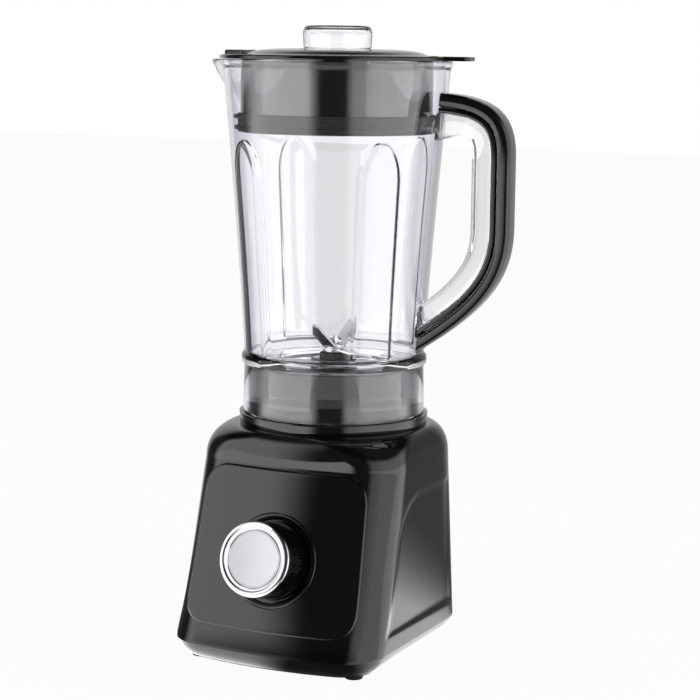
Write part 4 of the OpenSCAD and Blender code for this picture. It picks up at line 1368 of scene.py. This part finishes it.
@dataclass
class Studio:
    """The floor, the soft lamps, the white surround and the camera. Metres and degrees."""

    azimuth: float = 25.5
    distance: float = 1.26
    height: float = 0.364
    sideways: float = 0.0097
    tilt: float = 8.3
    roll: float = 0.7
    lens: float = 106.9
    floor_half: float = 6.0
    floor_glow: float = 0.95
    softbox: float = 2.6
    lamp_radiance: float = 1.7
    lamp_aim_z: float = 0.2
    sky_fade: tuple[float, float] = (0.42, 0.62)
    floor_stops: tuple[tuple[float, float], ...] = (
        (-180, 0.8), (-150, 0.8), (-135, 0.1), (-114, 0.1), (-92, 2.5), (-34, 2.5), (-16, 0.08), (8, 0.08),
        (20, 1.6), (45, 2.3), (98, 2.3), (122, 0.25), (150, 0.5), (180, 0.8))
    sky_stops: tuple[tuple[float, float], ...] = (
        (-180, 0.9), (-150, 0.9), (-135, 0.1), (-114, 0.1), (-92, 2.5), (-58, 2.5), (-42, 0.08), (8, 0.08),
        (24, 1.4), (45, 2.0), (98, 2.0), (122, 0.25), (150, 0.6), (180, 0.9))

    def heading(self) -> tuple[Vector, Vector]:
        """The direction from the blender to the camera, and the camera's right."""
        a = math.radians(self.azimuth)
        return Vector((math.sin(a), -math.cos(a), 0)), Vector((math.cos(a), math.sin(a), 0))

    def camera(self) -> None:
        """The camera at its three-quarter view, a little above the lid."""
        out, right = self.heading()
        t, r = math.radians(self.tilt), math.radians(self.roll)
        forward = -out * math.cos(t) - Vector((0, 0, math.sin(t)))
        up = right.cross(forward)
        across = right * math.cos(r) + up * math.sin(r)
        upright = up * math.cos(r) - right * math.sin(r)
        place = Matrix((across, upright, -forward)).transposed().to_4x4()
        place.translation = out * self.distance + Vector((0, 0, self.height)) + right * self.sideways
        data = bpy.data.cameras.new("camera")
        data.lens = self.lens
        data.sensor_width = 36.0
        data.clip_end = 50.0
        camera = new_object("camera", data)
        camera.matrix_world = place
        bpy.context.scene.camera = camera

    @staticmethod
    def _mixed(tree: bpy.types.NodeTree, share: bpy.types.NodeSocket, first: bpy.types.NodeSocket,
               second: bpy.types.NodeSocket) -> bpy.types.NodeSocket:
        """One shader turning to another.

        Args:
            tree: the node tree.
            share: how much of the second shader shows.
            first: the shader at 0.
            second: the shader at 1.

        Returns:
            The mixed shader.
        """
        return add_node(tree, "ShaderNodeMixShader", {0: share, 1: first, 2: second}).outputs["Shader"]

    def _seen(self, tree: bpy.types.NodeTree, *rays: str) -> bpy.types.NodeSocket:
        """1 for the named kinds of ray.

        Args:
            tree: the node tree.
            rays: outputs of the Light Path node.

        Returns:
            The socket with the sum.
        """
        path = add_node(tree, "ShaderNodeLightPath")
        total = path.outputs[rays[0]]
        for ray in rays[1:]:
            total = add_node(tree, "ShaderNodeMath", {0: total, 1: path.outputs[ray]},
                             operation="MAXIMUM").outputs["Value"]
        return total

    def _softboxes(self, tree: bpy.types.NodeTree, kind: str,
                   stops: tuple[tuple[float, float], ...]) -> tuple:
        """How bright the studio looks in each direction round the blender.

        Args:
            tree: the node tree.
            kind: the coordinates that give the direction.
            stops: degrees from the camera, positive to its right, and the brightness there.

        Returns:
            The brightness socket and the coordinates' socket.
        """
        out, right = self.heading()
        coords = add_node(tree, "ShaderNodeTexCoord").outputs[kind]
        along = [add_node(tree, "ShaderNodeVectorMath", {0: coords, 1: axis}, operation="DOT_PRODUCT")
                 for axis in (right, out)]
        turn = add_node(tree, "ShaderNodeMath", {
            0: along[0].outputs["Value"], 1: along[1].outputs["Value"]}, operation="ARCTAN2")
        share = add_node(tree, "ShaderNodeMapRange", {
            "Value": turn.outputs["Value"], "From Min": -math.pi, "From Max": math.pi})
        ramp = add_node(tree, "ShaderNodeValToRGB", {"Fac": share.outputs["Result"]})
        ramp.color_ramp.interpolation = "EASE"
        elements = ramp.color_ramp.elements
        while len(elements) < len(stops):
            elements.new(0.5)
        for element, (degrees, level) in zip(elements, stops):
            element.position = (degrees + 180) / 360
            element.color = (*[level / self.softbox] * 3, 1)
        bright = add_node(tree, "ShaderNodeMath", {
            0: ramp.outputs["Color"], 1: self.softbox}, operation="MULTIPLY")
        return bright.outputs["Value"], coords

    def floor(self) -> None:
        """A plain pale floor that shows near white and keeps the shadow."""
        h = self.floor_half
        mesh = bpy.data.meshes.new("floor")
        mesh.from_pydata([(-h, -h, 0), (h, -h, 0), (h, h, 0), (-h, h, 0)], [], [(0, 1, 2, 3)])
        floor = new_object("floor", mesh)
        material = bpy.data.materials.new("floor_paper")
        material.use_nodes = True
        tree = material.node_tree
        paper = feed(tree, tree.nodes["Principled BSDF"], {
            "Base Color": (0.9, 0.9, 0.9, 1), "Roughness": 0.9, "Specular IOR Level": 0.0})
        glow = add_node(tree, "ShaderNodeEmission", {"Strength": 1.0})
        share = add_node(tree, "ShaderNodeMath", {
            0: self._seen(tree, "Is Camera Ray", "Is Transmission Ray"), 1: self.floor_glow},
            operation="MULTIPLY")
        level, _ = self._softboxes(tree, "Object", self.floor_stops)
        mirrored = add_node(tree, "ShaderNodeEmission", {"Strength": level})
        plain = self._mixed(tree, share.outputs["Value"], paper.outputs["BSDF"], glow.outputs["Emission"])
        surface = self._mixed(tree, self._seen(tree, "Is Glossy Ray"), plain, mirrored.outputs["Emission"])
        feed(tree, tree.nodes["Material Output"], {"Surface": surface})
        mesh.materials.append(material)

    def world(self) -> None:
        """A white surround, which glossy surfaces see as two softboxes with a dark gap between them."""
        world = bpy.data.worlds.new("studio")
        bpy.context.scene.world = world
        world.use_nodes = True
        tree = world.node_tree
        dim = feed(tree, tree.nodes["Background"], {"Color": (0.32, 0.32, 0.33, 1)})
        white = add_node(tree, "ShaderNodeBackground", {"Color": (1, 1, 1, 1)})
        level, direction = self._softboxes(tree, "Generated", self.sky_stops)
        parts = add_node(tree, "ShaderNodeSeparateXYZ", {"Vector": direction})
        fade = add_node(tree, "ShaderNodeMapRange", {
            "Value": parts.outputs["Z"], "From Min": self.sky_fade[0], "From Max": self.sky_fade[1],
            "To Min": 1.0, "To Max": 0.06})
        lit = add_node(tree, "ShaderNodeMath", {0: level, 1: fade.outputs["Result"]}, operation="MULTIPLY")
        boxes = add_node(tree, "ShaderNodeBackground", {"Strength": lit.outputs["Value"]})
        shader = dim.outputs["Background"]
        for rays, other in ((("Is Glossy Ray",), boxes), (("Is Camera Ray", "Is Transmission Ray"), white)):
            shader = self._mixed(tree, self._seen(tree, *rays), shader, other.outputs["Background"])
        feed(tree, tree.nodes["World Output"], {"Surface": shader})

    def lamp(self, name: str, azimuth: float, height: float, away: float, width: float, tall: float,
             mirrored: bool) -> None:
        """One soft panel.

        Args:
            name: the lamp's name.
            azimuth: its direction, in degrees from the camera, positive to the camera's right.
            height: height of its centre.
            away: its distance from the axis.
            width: its width.
            tall: its height.
            mirrored: whether glossy surfaces mirror it.
        """
        data = bpy.data.lights.new(name, "AREA")
        data.shape = "RECTANGLE"
        data.size = width
        data.size_y = tall
        data.energy = self.lamp_radiance * math.pi * width * tall
        lamp = new_object(name, data)
        a = math.radians(self.azimuth + azimuth)
        position = Vector((math.sin(a) * away, -math.cos(a) * away, height))
        aim = Vector((0, 0, self.lamp_aim_z))
        lamp.rotation_euler = (position - aim).to_track_quat("Z", "Y").to_euler()
        lamp.location = position
        lamp.visible_glossy = mirrored

    def build(self) -> None:
        """Builds the studio."""
        self.camera()
        self.floor()
        self.world()
        for name, azimuth in (("left_panel", -62), ("right_panel", 66)):
            self.lamp(name, azimuth, height=0.6, away=1.5, width=2.0, tall=1.1, mirrored=False)
        self.lamp("top_panel", 180, height=1.9, away=0.4, width=1.5, tall=0.6, mirrored=True)
        bpy.context.scene.view_settings.view_transform = "Standard"


def dress_frame() -> None:
    """Gives every CAD node its finish from the record's slots."""
    slots = {row["node"]: row["material_slot"] for row in frame["record"]["subparts"]}
    for name, node in frame["nodes"].items():
        material = FINISHES[slots[name]].material()
        if not node.data.materials:
            node.data.materials.append(material)
        for i in range(len(node.material_slots)):
            node.material_slots[i].material = material


def main() -> None:
    """Builds the whole blender and its studio."""
    logging.basicConfig(level=logging.INFO, format="%(name)s: %(message)s")
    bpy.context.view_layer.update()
    dress_frame()
    base = MotorBase()
    for part in (base, SpeedKnob(base), ClearJar(), BladeStack(), DeepLid(), Motor(), Studio()):
        part.build()
        LOG.info("%s is built", type(part).__name__)
    bpy.context.view_layer.update()


if __name__ == "__main__":
    main()
